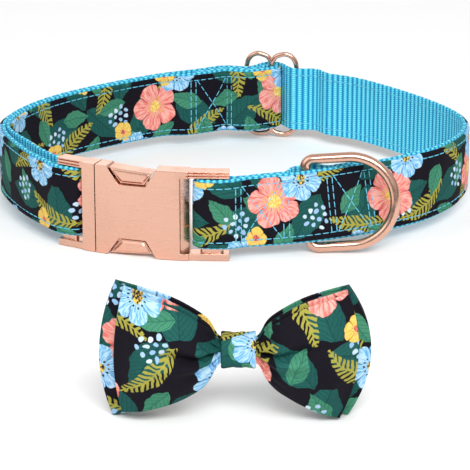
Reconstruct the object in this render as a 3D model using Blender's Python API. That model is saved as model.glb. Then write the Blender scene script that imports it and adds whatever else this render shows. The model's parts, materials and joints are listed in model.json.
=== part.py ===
# A pet collar of printed cotton on nylon webbing, with a metal side-release buckle,
# a D-ring and a slider, and the bow tie that belongs on it, taken off and stood in front.
# Sizes are in millimetres, and each mesh is written in metres. +Z is up, -Y is the front.

import math

import bmesh
import bpy
import numpy as np
from mathutils import Matrix, Vector

MM = 0.001
GAP = 0.3                       # clearance between pieces that touch on the real collar

# Where the collar's own plan lies in the part's frame, so that the origin is the
# middle of the whole part's footprint.
ORIGIN_X = -0.22
ORIGIN_Y = -23.77

# Strap: nylon webbing with a cotton cover sewn to one face.
STRAP_WIDTH = 25.4
WEBBING_THICK = 1.2
COVER_THICK = 1.0
COVER_MARGIN = 0.85             # how far the cover stops short of each webbing edge
STRAP_THICK = WEBBING_THICK + GAP + COVER_THICK
LAYER_PITCH = STRAP_THICK + GAP
STRAP_MID_Z = 17.0

# Buckle, curved in plan to follow the neck.
BUCKLE_HIGH = 32.4
BUCKLE_THICK = 6.5
BUCKLE_RADIUS = 110.0
SEAM_X, SEAM_Y = -47.6, -14.4
SEAM_HEADING = math.radians(-24.0)
SEAM_HALF_GAP = 0.15
BODY_LENGTH = 33.1
RECESS_START, RECESS_DEPTH = 30.2, 2.4      # the lower band at the body's strap end
CAVITY_END, CAVITY_RIM = 28.6, 3.2
FEMALE_END = 47.0
FEMALE_BAR_START = 36.9
MALE_PLATE_LENGTH = 5.0
MALE_END = 15.2
MALE_BAR_START = 8.4
ARM_HIGH = 2.4
ARM_THICK = 5.0
BAR_THICK = 3.0
BUCKLE_WALL = 1.3
BUCKLE_SLICE = 6.7              # how finely the buckle is cut across before it is bent
NOTCH_WIDE = (4.4, 21.9)        # each release notch, along the buckle at its edge
NOTCH_NARROW = (8.8, 18.3)      # and at its floor
NOTCH_DEPTH = 6.3
BUTTON_MARGIN = 0.5             # between a release button and its notch
BUTTON_INSET = (0.4, 1.5)       # how far a button stays inside the buckle's edge, at either end
TONGUE_REACH, TONGUE_HIGH = 14.0, 7.0
PRONG_REACH, PRONG_LOW, PRONG_HIGH = 19.0, 4.4, 8.2

# D-ring on its bar between the two layers of the right front.
RING_WIRE = 3.6
RING_HIGH = 34.8
RING_RAISED = 0.62              # its middle above the strap's, along its bar
RING_ARM = 15.1
RING_BEND = 2.9
RING_BAR_X = 26.6
RING_REST_HEADING = math.radians(-5.0)
TUNNEL_FLAT, TUNNEL_RAMP = 2.4, 8.4         # how far the tunnel's floor and slopes reach from the bar
TUNNEL_PITCH = RING_WIRE + 3.4 * GAP + STRAP_THICK

# Slider: two ovals of wire side by side with one shared bar.
SLIDER_X, SLIDER_Y = 14.5, 115.0
SLIDER_HEADING = math.radians(-8.0)
SLIDER_PITCH = 10.0
SLIDER_WIRE = 1.9
SLIDER_BAR = 2.2
SLIDER_LOW, SLIDER_HIGH = 0.4, 35.2
SLIDER_DIP_LOW, SLIDER_DIP_HIGH = 1.6, 3.2  # how far the ovals' ends dip where they meet

# Bow tie.
BOW_X, BOW_Y, BOW_MID_Z = 1.0, -153.0, 21.2
BOW_WALL = 1.4
PINCH = 2 * BOW_WALL + GAP      # front face to back face of a loop inside the knot
BACK_DEPTH, FRONT_DEPTH = 5.6, 7.9
EDGE_FLAT = 0.65                # how much of a loop's swelling its upper and lower edges lose
BOW_PLEAT = 1.8
CREASE_RISE = {-1: 0.004, 1: 0.010}     # how each wing's deep crease climbs, in levels per millimetre
KNOT_WIDE, KNOT_HIGH, KNOT_WALL = 10.4, 9.7, 1.4
ELASTIC_WIDE, ELASTIC_THICK = 6.0, 1.2
ELASTIC_INNER_HIGH, ELASTIC_INNER_DEEP = 26.4, 5.6
ELASTIC_X = 27.5                # each elastic's distance from the bow's middle

# Outer layer's middle line, seen from above, from the D-ring's side round to the left.
RIGHT_ROUTE = (
    # x, y
    (3.0, -24.3),
    (9.0, -22.7),
    (18.0, -20.5),
    (27.0, -17.5),
    (37.0, -13.2),
    (46.0, -8.8),
    (55.0, -3.9),
    (65.0, 3.0),
    (73.0, 10.6),
    (79.2, 19.8),
    (83.6, 30.6),
    (85.2, 41.5),
    (83.4, 51.5),
    (77.6, 63.2),
    (67.6, 77.0),
    (55.5, 90.6),
    (43.0, 100.8),
    (34.5, 106.8),
)
LEFT_ROUTE = (
    # x, y
    (-10.8, 112.3),
    (-24.8, 106.2),
    (-39.5, 98.0),
    (-52.8, 88.6),
    (-64.4, 79.0),
    (-74.2, 68.2),
    (-81.0, 57.2),
    (-84.9, 46.4),
    (-85.6, 37.4),
    (-84.1, 29.0),
    (-80.9, 20.0),
    (-76.6, 11.0),
    (-71.8, 2.6),
    (-66.8, -4.6),
)

# Spacing of the folded-back right end behind the outer layer, by x.
RIGHT_SPACING = (
    # x, spacing of the middle lines
    (-9.0, BAR_THICK + 2 * GAP + STRAP_THICK),
    (-3.2, BAR_THICK + 2 * GAP + STRAP_THICK),
    (3.0, LAYER_PITCH),
    (RING_BAR_X - TUNNEL_RAMP, LAYER_PITCH),
    (RING_BAR_X - TUNNEL_FLAT, TUNNEL_PITCH),
    (RING_BAR_X + TUNNEL_FLAT, TUNNEL_PITCH),
    (RING_BAR_X + TUNNEL_RAMP, LAYER_PITCH),
    (50.0, LAYER_PITCH),
)
RIGHT_END_X = 50.0

# Spacing of the inner left layer, by the distance along the strap from the male bar.
LEFT_SPACING = (
    # distance, spacing of the middle lines
    (0.0, BAR_THICK + 2 * GAP + STRAP_THICK),
    (14.0, 6.6),
    (32.0, 6.0),
    (62.0, LAYER_PITCH),
    (149.0, LAYER_PITCH),
    (160.0, 2 * LAYER_PITCH),
)
SLIDER_LEAD = (19.0, 13.0)      # where the strap runs straight up to the slider's side bar
SLIDER_RETURN = 34.0            # where the sewn-back end stops, left of the slider's middle

# How far the right front leans: its upper edge towards the neck.
FRONT_LEAN = (
    # x, degrees
    (-6.0, 0.0),
    (17.0, 7.0),
    (33.0, 14.0),
    (46.0, 17.0),
    (62.0, 12.0),
    (76.0, 4.0),
    (84.0, 0.0),
)
FRONT_LEAN_Y = 35.0             # no lean behind this
NECK_X, NECK_Y = 0.0, 45.0

# The bow's outline: half height at each distance from its middle.
BOW_OUTLINE = (
    # distance from the middle, half height
    (0.0, 3.0),
    (5.7, 3.3),
    (8.0, 7.3),
    (12.0, 11.1),
    (19.0, 15.2),
    (28.0, 18.5),
    (37.0, 21.2),
)

# The bow's four ends: how far each reaches from the middle, and its corners' heights.
BOW_ENDS = {
    # loop and side: reach at the top, at mid height and at the bottom, top height, bottom height
    ("back", -1): (36.4, 41.5, 37.7, 21.2, 21.2),
    ("back", 1): (32.8, 39.6, 32.9, 19.6, 21.2),
    ("front", -1): (33.8, 37.0, 34.6, 20.8, 18.6),
    ("front", 1): (32.2, 35.6, 30.2, 19.4, 20.6),
}


def clear_scene():
    for old in list(bpy.data.objects):
        bpy.data.objects.remove(old, do_unlink=True)


def finish(name, colour, roughness, metallic=0.0):
    material = bpy.data.materials.new(name)
    material.use_nodes = True
    shader = material.node_tree.nodes["Principled BSDF"]
    shader.inputs["Base Color"].default_value = (*colour, 1.0)
    shader.inputs["Metallic"].default_value = metallic
    shader.inputs["Roughness"].default_value = roughness
    return material


def add_object(name, mesh, material, sharp_degrees=35.0):
    mesh.materials.clear()
    mesh.materials.append(material)
    mesh.shade_smooth()
    mesh.set_sharp_from_angle(angle=math.radians(sharp_degrees))
    piece = bpy.data.objects.new(name, mesh)
    bpy.context.scene.collection.objects.link(piece)
    return piece


def mesh_from(points_mm, faces):
    """A closed mesh in metres, faces turned outwards."""
    mesh = bpy.data.meshes.new("shape")
    mesh.from_pydata([tuple(c * MM for c in p) for p in points_mm], [], faces)
    shape = bmesh.new()
    shape.from_mesh(mesh)
    bmesh.ops.recalc_face_normals(shape, faces=shape.faces)
    bmesh.ops.triangulate(shape, faces=shape.faces)
    shape.to_mesh(mesh)
    shape.free()
    return mesh


def to_part(x, y):
    return x - ORIGIN_X, y - ORIGIN_Y


def smooth_curve(rows, step):
    """Points about one step apart on a natural cubic spline through the rows."""
    knots = np.array(rows, dtype=float)
    run = np.concatenate([[0.0], np.cumsum(np.linalg.norm(np.diff(knots, axis=0), axis=1))])
    gaps = np.diff(run)
    count = len(run)
    matrix = np.eye(count)
    right = np.zeros((count, knots.shape[1]))
    for i in range(1, count - 1):
        matrix[i, i - 1] = gaps[i - 1]
        matrix[i, i] = 2 * (gaps[i - 1] + gaps[i])
        matrix[i, i + 1] = gaps[i]
        right[i] = 6 * ((knots[i + 1] - knots[i]) / gaps[i] - (knots[i] - knots[i - 1]) / gaps[i - 1])
    bend = np.linalg.solve(matrix, right)
    places = np.linspace(0.0, run[-1], max(2, int(round(run[-1] / step)) + 1))
    points = []
    for place in places:
        i = min(int(np.searchsorted(run, place, side="right")) - 1, count - 2)
        before = (place - run[i]) / gaps[i]
        after = 1.0 - before
        curve = ((after ** 3 - after) * bend[i] + (before ** 3 - before) * bend[i + 1]) * gaps[i] ** 2 / 6
        points.append(after * knots[i] + before * knots[i + 1] + curve)
    return np.array(points)


def table_value(rows, at):
    """A value read from a table, eased from row to row."""
    if at <= rows[0][0]:
        return rows[0][1]
    for (low, low_value), (high, high_value) in zip(rows, rows[1:]):
        if at <= high:
            share = (at - low) / (high - low)
            eased = (1 - math.cos(math.pi * share)) / 2
            return low_value + (high_value - low_value) * eased
    return rows[-1][1]


def right_hand(points):
    """Unit vectors to the right of the way the points run, at each point."""
    points = np.asarray(points)
    along = np.gradient(points, axis=0)
    along /= np.linalg.norm(along, axis=1)[:, None]
    return np.stack([along[:, 1], -along[:, 0]], axis=1)


def beside(points, distance):
    """The points moved to the right of their run, by one distance or one for each."""
    return np.asarray(points) + right_hand(points) * np.reshape(distance, (-1, 1))


def arc(centre, radius, start, end, steps):
    angles = np.radians(np.linspace(start, end, steps + 1))
    return np.stack([centre[0] + radius * np.cos(angles), centre[1] + radius * np.sin(angles)], axis=1)


def buckle_place(along, outward):
    """The plan place of a point on the curved buckle: along from the seam, out from its mid-plane."""
    heading = SEAM_HEADING + along / BUCKLE_RADIUS
    centre_x = SEAM_X - BUCKLE_RADIUS * math.sin(SEAM_HEADING)
    centre_y = SEAM_Y + BUCKLE_RADIUS * math.cos(SEAM_HEADING)
    reach = BUCKLE_RADIUS + outward
    return centre_x + reach * math.sin(heading), centre_y - reach * math.cos(heading)


def slider_place(across, outward):
    """The plan place of a point on the slider: across to the right, out from the neck."""
    cos, sin = math.cos(SLIDER_HEADING), math.sin(SLIDER_HEADING)
    return SLIDER_X + across * cos - outward * sin, SLIDER_Y + across * sin + outward * cos


def front_lean(x, y):
    """How far the strap leans in at a plan place, in radians."""
    if y > FRONT_LEAN_Y:
        return 0.0
    return math.radians(table_value(FRONT_LEAN, x))


def strap_route():
    """The strap's middle line from its sewn right end to its sewn end at the slider.

    The printed face is on the right of the way it runs, all along.
    """
    wrap = BAR_THICK / 2 + GAP + STRAP_THICK / 2
    slider_wrap = SLIDER_BAR / 2 + GAP + STRAP_THICK / 2
    pitch = SLIDER_PITCH

    # Over the female bar, the right front, the right end and the right back.
    female_axis = FEMALE_BAR_START + BAR_THICK / 2
    start = [buckle_place(female_axis + past, wrap) for past in (0.0, 3.6, 7.2)]
    slider_in = [slider_place(across, -slider_wrap) for across in SLIDER_LEAD]
    fine = smooth_curve(start + list(RIGHT_ROUTE) + slider_in, 1.7)
    near_ring = np.abs(fine[:, 0] - RING_BAR_X) + np.maximum(fine[:, 1], 0) < 9.5
    keep = near_ring | (np.arange(len(fine)) % 3 == 0)
    keep[-1] = True
    outer_right = fine[keep]

    # The folded-back right end, behind the outer layer, run from its cut end to the bar.
    behind = []
    for point, side in zip(outer_right, right_hand(outer_right)):
        if point[0] <= RIGHT_END_X and point[1] < 0:
            spacing = table_value(RIGHT_SPACING, point[0])
            behind.append(point - side * spacing)
    behind = np.array(behind)[::-1]

    # Round the female bar.
    heading = math.degrees(SEAM_HEADING + female_axis / BUCKLE_RADIUS)
    female_wrap = arc(buckle_place(female_axis, 0.0), wrap, heading + 90, heading + 270, 10)

    # Through the slider: under the right bar, over the middle one, under the left one.
    over = slider_wrap + LAYER_PITCH
    lean = math.degrees(math.asin((over + slider_wrap) / pitch))
    weave = np.concatenate([
        arc((pitch, 0.0), slider_wrap, 270, 270 - lean, 5),
        arc((0.0, 0.0), over, 90 - lean, 90 + lean, 8),
        arc((-pitch, 0.0), slider_wrap, 270 + lean, 270, 5),
    ])
    weave = np.array([slider_place(*p) for p in weave])

    # The left back, the left end and the left front, then round the male bar.
    male_axis = -(MALE_BAR_START + BAR_THICK / 2)
    slider_out = [slider_place(-across, -slider_wrap) for across in SLIDER_LEAD[::-1]]
    last = [buckle_place(male_axis - before, wrap) for before in (5.6, 0.0)]
    outer_left = smooth_curve(slider_out + list(LEFT_ROUTE) + last, 4.0)
    heading = math.degrees(SEAM_HEADING + male_axis / BUCKLE_RADIUS)
    male_wrap = arc(buckle_place(male_axis, 0.0), wrap, heading - 90, heading + 90, 10)

    # Back again as the inner layer, as far as the slider.
    back = outer_left[::-1]
    run = np.concatenate([[0.0], np.cumsum(np.linalg.norm(np.diff(back, axis=0), axis=1))])
    spacing = np.array([table_value(LEFT_SPACING, at) for at in run])
    inner_left = beside(back, spacing)

    # Round the slider's middle bar, and back between the two layers.
    under = slider_wrap + 2 * LAYER_PITCH
    dip = math.degrees(math.asin((under - slider_wrap) / pitch))
    turn = np.concatenate([
        arc((-pitch, 0.0), under, 270, 270 + dip, 3),
        arc((0.0, 0.0), slider_wrap, 270 + dip, 450 + lean, 14),
        arc((-pitch, 0.0), over, 270 + lean, 270, 5),
    ])
    turn = np.array([slider_place(*p) for p in turn])
    returned = [p for p in beside(outer_left, -LAYER_PITCH)
                if math.dist(p, (SLIDER_X, SLIDER_Y)) < SLIDER_RETURN]

    parts = (behind, female_wrap, outer_right[1:], weave, outer_left, male_wrap[1:-1],
             inner_left, turn, np.array(returned))
    return np.concatenate(parts)


def strap_place(middle, side, out, up):
    """A point off the strap's middle line: outwards, and up across its width."""
    lean = front_lean(*middle)
    if side[0] * (middle[0] - NECK_X) + side[1] * (middle[1] - NECK_Y) < 0:
        lean = -lean            # the printed face looks to the neck on the inner layers
    off = out * math.cos(lean) - up * math.sin(lean)
    x, y = to_part(middle[0] + side[0] * off, middle[1] + side[1] * off)
    return x, y, STRAP_MID_Z + up * math.cos(lean) + out * math.sin(lean)


def strip_mesh(route, near, far, half):
    """A flat strip that stands on edge along a plan route, between two offsets from it."""
    points = []
    for middle, side in zip(route, right_hand(route)):
        for out, up in ((near, -half), (far, -half), (far, half), (near, half)):
            points.append(strap_place(middle, side, out, up))
    faces = [(3, 2, 1, 0)]
    for i in range(len(route) - 1):
        a, b = 4 * i, 4 * i + 4
        for k in range(4):
            m = (k + 1) % 4
            faces.append((a + k, a + m, b + m, b + k))
    last = 4 * (len(route) - 1)
    faces.append((last, last + 1, last + 2, last + 3))
    return mesh_from(points, faces)


def ring_mesh(path, normal, radius, sides, place):
    """A round wire bent along a closed path in one plane, placed by a function."""
    path = [np.array(p, dtype=float) for p in path]
    normal = np.array(normal, dtype=float)
    count = len(path)
    points = []
    for i, point in enumerate(path):
        along = path[(i + 1) % count] - path[i - 1]
        along /= np.linalg.norm(along)
        out = np.cross(along, normal)
        for k in range(sides):
            turn = 2 * math.pi * k / sides
            points.append(place(*(point + radius * (math.cos(turn) * out + math.sin(turn) * normal))))
    faces = []
    for i in range(count):
        for k in range(sides):
            j, m = (i + 1) % count, (k + 1) % sides
            faces.append((i * sides + k, i * sides + m, j * sides + m, j * sides + k))
    return points, faces


def prism(outline, near, far):
    """A straight prism: an outline of along and height, between two outward offsets."""
    count = len(outline)
    points = [(along, near, high) for along, high in outline]
    points += [(along, far, high) for along, high in outline]
    faces = [tuple(range(count))[::-1], tuple(range(count, 2 * count))]
    for k in range(count):
        m = (k + 1) % count
        faces.append((k, m, count + m, count + k))
    return points, faces


def block(low_along, high_along, near, far, low, high):
    outline = ((low_along, low), (high_along, low), (high_along, high), (low_along, high))
    return prism(outline, near, far)


def rounded_bar(start, end, low, high):
    """A flat bar with round edges, standing between two heights."""
    radius = BAR_THICK / 2
    section = np.concatenate([
        arc((end - radius, 0.0), radius, -90, 90, 6),
        arc((start + radius, 0.0), radius, 90, 270, 6),
    ])
    count = len(section)
    points = [(along, out, low) for along, out in section]
    points += [(along, out, high) for along, out in section]
    faces = [tuple(range(count))[::-1], tuple(range(count, 2 * count))]
    for k in range(count):
        m = (k + 1) % count
        faces.append((k, m, count + m, count + k))
    return points, faces


def combined(base, joined=(), cut=()):
    """One mesh from a base shape with others joined to it and cut from it."""
    body = bpy.data.objects.new("blank", mesh_from(*base))
    bpy.context.scene.collection.objects.link(body)
    tools = []
    for operation, shapes in (("UNION", joined), ("DIFFERENCE", cut)):
        for shape in shapes:
            tool = bpy.data.objects.new("tool", mesh_from(*shape))
            bpy.context.scene.collection.objects.link(tool)
            boolean = body.modifiers.new("combine", "BOOLEAN")
            boolean.object = tool
            boolean.operation = operation
            boolean.solver = "EXACT"
            tools.append(tool)
    depsgraph = bpy.context.evaluated_depsgraph_get()
    mesh = bpy.data.meshes.new_from_object(body.evaluated_get(depsgraph))
    for old in [body] + tools:
        bpy.data.objects.remove(old, do_unlink=True)
    return mesh


def bend_buckle(mesh, start, end):
    """Slices a straight buckle half across, then bends it to the buckle's curve."""
    shape = bmesh.new()
    shape.from_mesh(mesh)
    for at in np.arange(start + BUCKLE_SLICE, end, BUCKLE_SLICE):
        bmesh.ops.bisect_plane(shape, geom=shape.verts[:] + shape.edges[:] + shape.faces[:],
                               plane_co=(at * MM, 0, 0), plane_no=(1, 0, 0), dist=1e-7)
    bmesh.ops.remove_doubles(shape, verts=shape.verts, dist=2e-6)
    bmesh.ops.triangulate(shape, faces=shape.faces)
    for vert in shape.verts:
        place = to_part(*buckle_place(vert.co.x / MM, vert.co.y / MM))
        vert.co.x, vert.co.y = place[0] * MM, place[1] * MM
    if shape.calc_volume(signed=True) < 0:
        bmesh.ops.reverse_faces(shape, faces=shape.faces)
    shape.to_mesh(mesh)
    shape.free()
    return mesh


def notch(margin, rise, high_side):
    """The release notch or, with a margin, the button in it, at the top or bottom edge.

    The outline is run past the edge by the rise, so that a notch cuts cleanly.
    """
    low, high = NOTCH_WIDE[0] + margin, NOTCH_WIDE[1] - margin
    depth = NOTCH_DEPTH - margin
    inner = ((NOTCH_NARROW[1] - margin, depth), (NOTCH_NARROW[0] + margin, depth))
    rows = ((low, -rise), (high, -rise), (high, 0.0)) + inner + ((low, 0.0),)
    if not rise:
        near, far = BUTTON_INSET
        low += near * (NOTCH_NARROW[0] - NOTCH_WIDE[0]) / NOTCH_DEPTH
        high += far * (NOTCH_NARROW[1] - NOTCH_WIDE[1]) / NOTCH_DEPTH
        rows = ((low, near), (high, far)) + inner
    if high_side:
        return tuple((along, BUCKLE_HIGH - down) for along, down in rows)
    return rows


def make_strap(colours):
    route = strap_route()
    half = STRAP_THICK / 2
    webbing = strip_mesh(route, -half, -half + WEBBING_THICK, STRAP_WIDTH / 2)
    add_object("webbing", webbing, colours["webbing"])
    cover = strip_mesh(route, half - COVER_THICK, half, STRAP_WIDTH / 2 - COVER_MARGIN)
    add_object("print_cover", cover, colours["print"])


def make_female_buckle(colours):
    half = BUCKLE_THICK / 2
    inside = half - BUCKLE_WALL
    arm = ARM_THICK / 2
    top = BUCKLE_HIGH
    over = 1.0
    body = block(SEAM_HALF_GAP, BODY_LENGTH, -half, half, 0.0, top)
    joined = (
        block(BODY_LENGTH - over, FEMALE_END, -arm, arm, 0.0, ARM_HIGH),
        block(BODY_LENGTH - over, FEMALE_END, -arm, arm, top - ARM_HIGH, top),
        rounded_bar(FEMALE_BAR_START, FEMALE_END - 2.0, ARM_HIGH / 2, top - ARM_HIGH / 2),
    )
    cut = (
        block(-over, CAVITY_END, -inside, inside, CAVITY_RIM, top - CAVITY_RIM),
        block(RECESS_START, BODY_LENGTH + over, half - RECESS_DEPTH, half + over,
              ARM_HIGH, top - ARM_HIGH),
        prism(notch(0.0, over, True), -half - over, half + over),
        prism(notch(0.0, over, False), -half - over, half + over),
    )
    mesh = combined(body, joined, cut)
    bend_buckle(mesh, SEAM_HALF_GAP, FEMALE_END)
    add_object("buckle_female", mesh, colours["metal"])


def make_male_buckle(colours):
    half = BUCKLE_THICK / 2
    inside = half - BUCKLE_WALL - 0.4
    arm = ARM_THICK / 2
    top = BUCKLE_HIGH
    middle = top / 2
    plate = block(-MALE_PLATE_LENGTH, -SEAM_HALF_GAP, -half, half, 0.0, top)
    joined = (
        block(-MALE_END, 1.0 - MALE_PLATE_LENGTH, -arm, arm, 0.0, ARM_HIGH),
        block(-MALE_END, 1.0 - MALE_PLATE_LENGTH, -arm, arm, top - ARM_HIGH, top),
        rounded_bar(0.2 - MALE_END, -MALE_BAR_START, ARM_HIGH / 2, top - ARM_HIGH / 2),
        block(-1.0, TONGUE_REACH, -inside, inside, middle - TONGUE_HIGH / 2, middle + TONGUE_HIGH / 2),
        block(-1.0, PRONG_REACH, -inside, inside, PRONG_LOW, PRONG_HIGH),
        block(-1.0, PRONG_REACH, -inside, inside, top - PRONG_HIGH, top - PRONG_LOW),
        prism(notch(BUTTON_MARGIN, 0.0, False), 0.2 - half, half - 0.2),
        prism(notch(BUTTON_MARGIN, 0.0, True), 0.2 - half, half - 0.2),
    )
    mesh = combined(plate, joined)
    bend_buckle(mesh, -MALE_END, PRONG_REACH)
    add_object("buckle_male", mesh, colours["metal"])


def make_d_ring(colours):
    """The D-ring and the empty on its bar's axis, which it turns about."""
    front = np.array([p for p in smooth_curve(RIGHT_ROUTE, 0.2) if p[1] < 0])
    nearest = int(np.argmin(np.abs(front[:, 0] - RING_BAR_X)))
    middle, side = front[nearest], right_hand(front)[nearest]
    behind = STRAP_THICK / 2 + 1.2 * GAP + RING_WIRE / 2
    bar = Vector(strap_place(middle, side, -behind, RING_RAISED))
    axis = (Vector(strap_place(middle, side, -behind, RING_RAISED + 1.0)) - bar).normalized()
    reach = Vector((math.cos(RING_REST_HEADING), math.sin(RING_REST_HEADING), 0.0))
    reach = (reach - axis * reach.dot(axis)).normalized()
    turn = Matrix((reach, axis.cross(reach), axis)).transposed()

    half = (RING_HIGH - RING_WIRE) / 2
    path = np.concatenate([
        arc((RING_ARM, 0.0), half, -90, 90, 16),
        arc((RING_BEND, half - RING_BEND), RING_BEND, 90, 180, 4),
        arc((RING_BEND, RING_BEND - half), RING_BEND, 180, 270, 4),
    ])
    path = [(out, 0.0, up) for out, up in path]
    ring_shape = ring_mesh(path, (0.0, 1.0, 0.0), RING_WIRE / 2, 12, lambda *place: place)
    hinge = bpy.data.objects.new("d_ring_hinge", None)
    bpy.context.scene.collection.objects.link(hinge)
    hinge.location = bar * MM
    hinge.rotation_euler = turn.to_euler()
    ring = add_object("d_ring", mesh_from(*ring_shape), colours["metal"])
    ring.parent = hinge


def oval_rows(half, dip):
    """Across and height of one oval's wire, from its side over its end to the shared dip."""
    side = SLIDER_PITCH
    return [
        (side, 0.0),
        (side, half - 5.6),
        (side - 0.9, half - 2.4),
        (side - 2.9, half - 0.4),
        (side / 2, half),
        (side - 7.0, half - 0.15 * dip),
        (side - 8.8, half - 0.5 * dip),
        (0.0, half - dip),
    ]


def make_slider(colours):
    """Two wire ovals drawn as one outline, and the bar that they share."""
    wire = SLIDER_WIRE / 2
    half = (SLIDER_HIGH - SLIDER_LOW) / 2 - wire
    middle = (SLIDER_HIGH + SLIDER_LOW) / 2
    over = oval_rows(half, SLIDER_DIP_HIGH)
    under = [(across, -up) for across, up in oval_rows(half, SLIDER_DIP_LOW)]
    loop = over + [(-across, up) for across, up in over[-2::-1]]
    loop += [(-across, up) for across, up in under[1:]] + under[-2::-1]
    loop = np.array(loop)
    fine = smooth_curve(np.concatenate([loop[-4:-1], loop, loop[1:4]]), 1.6)
    begin = int(np.argmin(np.linalg.norm(fine[:12] - loop[0], axis=1)))
    count = int(np.argmin(np.linalg.norm(fine[-16:] - loop[0], axis=1))) + len(fine) - 16
    path = [(a, 0.0, middle + h) for a, h in fine[begin:count]]

    def place(across, outward, z):
        return (*to_part(*slider_place(across, outward)), z)

    frame = ring_mesh(path, (0.0, 1.0, 0.0), wire, 10, place)
    section = arc((0.0, 0.0), SLIDER_BAR / 2, 0, 360, 12)[:-1]
    ends = (middle - half + SLIDER_DIP_LOW, middle + half - SLIDER_DIP_HIGH)
    bar_points = [place(a, o, z) for z in ends for a, o in section]
    sides = len(section)
    bar_faces = [tuple(range(sides))[::-1], tuple(range(sides, 2 * sides))]
    bar_faces += [(k, (k + 1) % sides, sides + (k + 1) % sides, sides + k) for k in range(sides)]
    mesh = combined(frame, joined=((bar_points, bar_faces),))
    shape = bmesh.new()
    shape.from_mesh(mesh)
    bmesh.ops.triangulate(shape, faces=shape.faces)
    shape.to_mesh(mesh)
    shape.free()
    add_object("slider", mesh, colours["metal"])


def loop_reach(loop, side, level):
    """How far a bow loop reaches at a level, from -1 at its lower edge to 1 at its upper one."""
    top, middle, bottom = BOW_ENDS[loop, side][:3]
    return middle + (top - bottom) / 2 * level + ((top + bottom) / 2 - middle) * level * level


def half_height(along):
    """The bow's half height at a distance from its middle."""
    line = smooth_curve(BOW_OUTLINE, 0.5)
    return float(np.interp(along, line[:, 0], line[:, 1]))


def loop_depth(loop, side, along, level):
    """How far a loop's front face stands from its back face."""
    depth = BACK_DEPTH if loop == "back" else FRONT_DEPTH
    rise = table_value(((5.6, 0.0), (13.0, 1.0)), along)
    fall = table_value(((0.78, 1.0), (1.0, 0.08)), along / loop_reach(loop, side, level))
    return PINCH + (depth - PINCH) * rise * fall * (1 - EDGE_FLAT * level * level)


def loop_back(loop, side, along, level):
    """The outward place of a loop's back face: the front loop lies on the back one."""
    out = KNOT_WALL + GAP
    if loop == "front":
        clear = table_value(((5.6, GAP), (12.0, 2 * GAP)), along)
        out += loop_depth("back", side, along, level) + clear
    return out


def bow_loop(loop, crease, material):
    """One bow loop: a band closed on itself, flat in the knot and swelling out to its folds."""
    levels = (-1.0, -0.8, -0.6, -0.4, -0.22, -0.08, 0.08, 0.22, 0.4, 0.6, 0.8, 1.0)
    near = (0.0, 5.7, 7.2, 9.2, 12.0, 15.5, 19.5, 24.0)
    shares = (0.83, 0.93, 0.98, 1.0)

    def place(side, station, level, front, inset):
        reach = loop_reach(loop, side, level)
        top_high, bottom_high = BOW_ENDS[loop, side][3:]
        if station < len(near):
            share = near[station] / reach
        else:
            share = shares[station - len(near)]
        along = share * reach
        thick = loop_depth(loop, side, along, level)
        fade = table_value(((5.6, 0.0), (8.0, 1.0), (14.0, 0.8), (26.0, 0.0)), along)
        off = level - CREASE_RISE[side] * along
        pleat = 0.5 * math.cos(3 * math.pi * level) - 0.9 * math.exp(-(off / 0.12) ** 2)
        thick = max(thick + crease * fade * pleat, PINCH)
        out = loop_back(loop, side, along, level) + (thick - inset if front else inset)
        corner = (top_high if level > 0 else bottom_high) / half_height(reach)
        high = half_height(along) * level * (1 + (corner - 1) * share ** 2)
        along -= inset * share ** 8
        x, y = to_part(BOW_X + side * along, BOW_Y - out)
        return x, y, BOW_MID_Z + high

    # Round the loop: the front from left to right, then the back from right to left.
    stations = range(len(near) + len(shares))
    order = [(-1, station, True) for station in stations[::-1]]
    order += [(1, station, True) for station in stations[1:]]
    order += [(1, station, False) for station in stations[::-1]]
    order += [(-1, station, False) for station in stations[1:]]
    points = []
    for inset in (0.0, BOW_WALL):
        for side, station, front in order:
            points += [place(side, station, level, front, inset) for level in levels]
    rows, columns = len(levels), len(order)
    inner = rows * columns
    faces = []
    for i in range(columns):
        j = (i + 1) % columns
        for k in range(rows - 1):
            a, b, c, d = i * rows + k, j * rows + k, j * rows + k + 1, i * rows + k + 1
            faces.append((a, b, c, d))
            faces.append((inner + d, inner + c, inner + b, inner + a))
        faces.append((i * rows, inner + i * rows, inner + j * rows, j * rows))
        last = rows - 1
        faces.append((j * rows + last, inner + j * rows + last, inner + i * rows + last, i * rows + last))
    add_object("bow_" + loop, mesh_from(points, faces), material, sharp_degrees=60.0)


def rounded_loop(deep, high, corner, centre, steps):
    """A rounded rectangle of outward place and height, run anticlockwise."""
    out, up = centre
    a, b = deep / 2 - corner, high / 2 - corner
    return np.concatenate([
        arc((out + a, up + b), corner, 0, 90, steps),
        arc((out - a, up + b), corner, 90, 180, steps),
        arc((out - a, up - b), corner, 180, 270, steps),
        arc((out + a, up - b), corner, 270, 360, steps),
    ])


def band_mesh(outer, inner, middle, wide):
    """A flat band closed on itself, as wide as given across the bow."""
    count = len(outer)
    points = []
    for across in (middle - wide / 2, middle + wide / 2):
        for line in (outer, inner):
            for out, up in line:
                x, y = to_part(BOW_X + across, BOW_Y - out)
                points.append((x, y, up))
    faces = []
    for k in range(count):
        m = (k + 1) % count
        a, b, c, d = k, m, count + k, count + m
        e, f, g, h = (2 * count + v for v in (a, b, c, d))
        faces += [(a, b, d, c), (e, g, h, f), (a, e, f, b), (c, d, h, g)]
    return mesh_from(points, faces)


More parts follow.
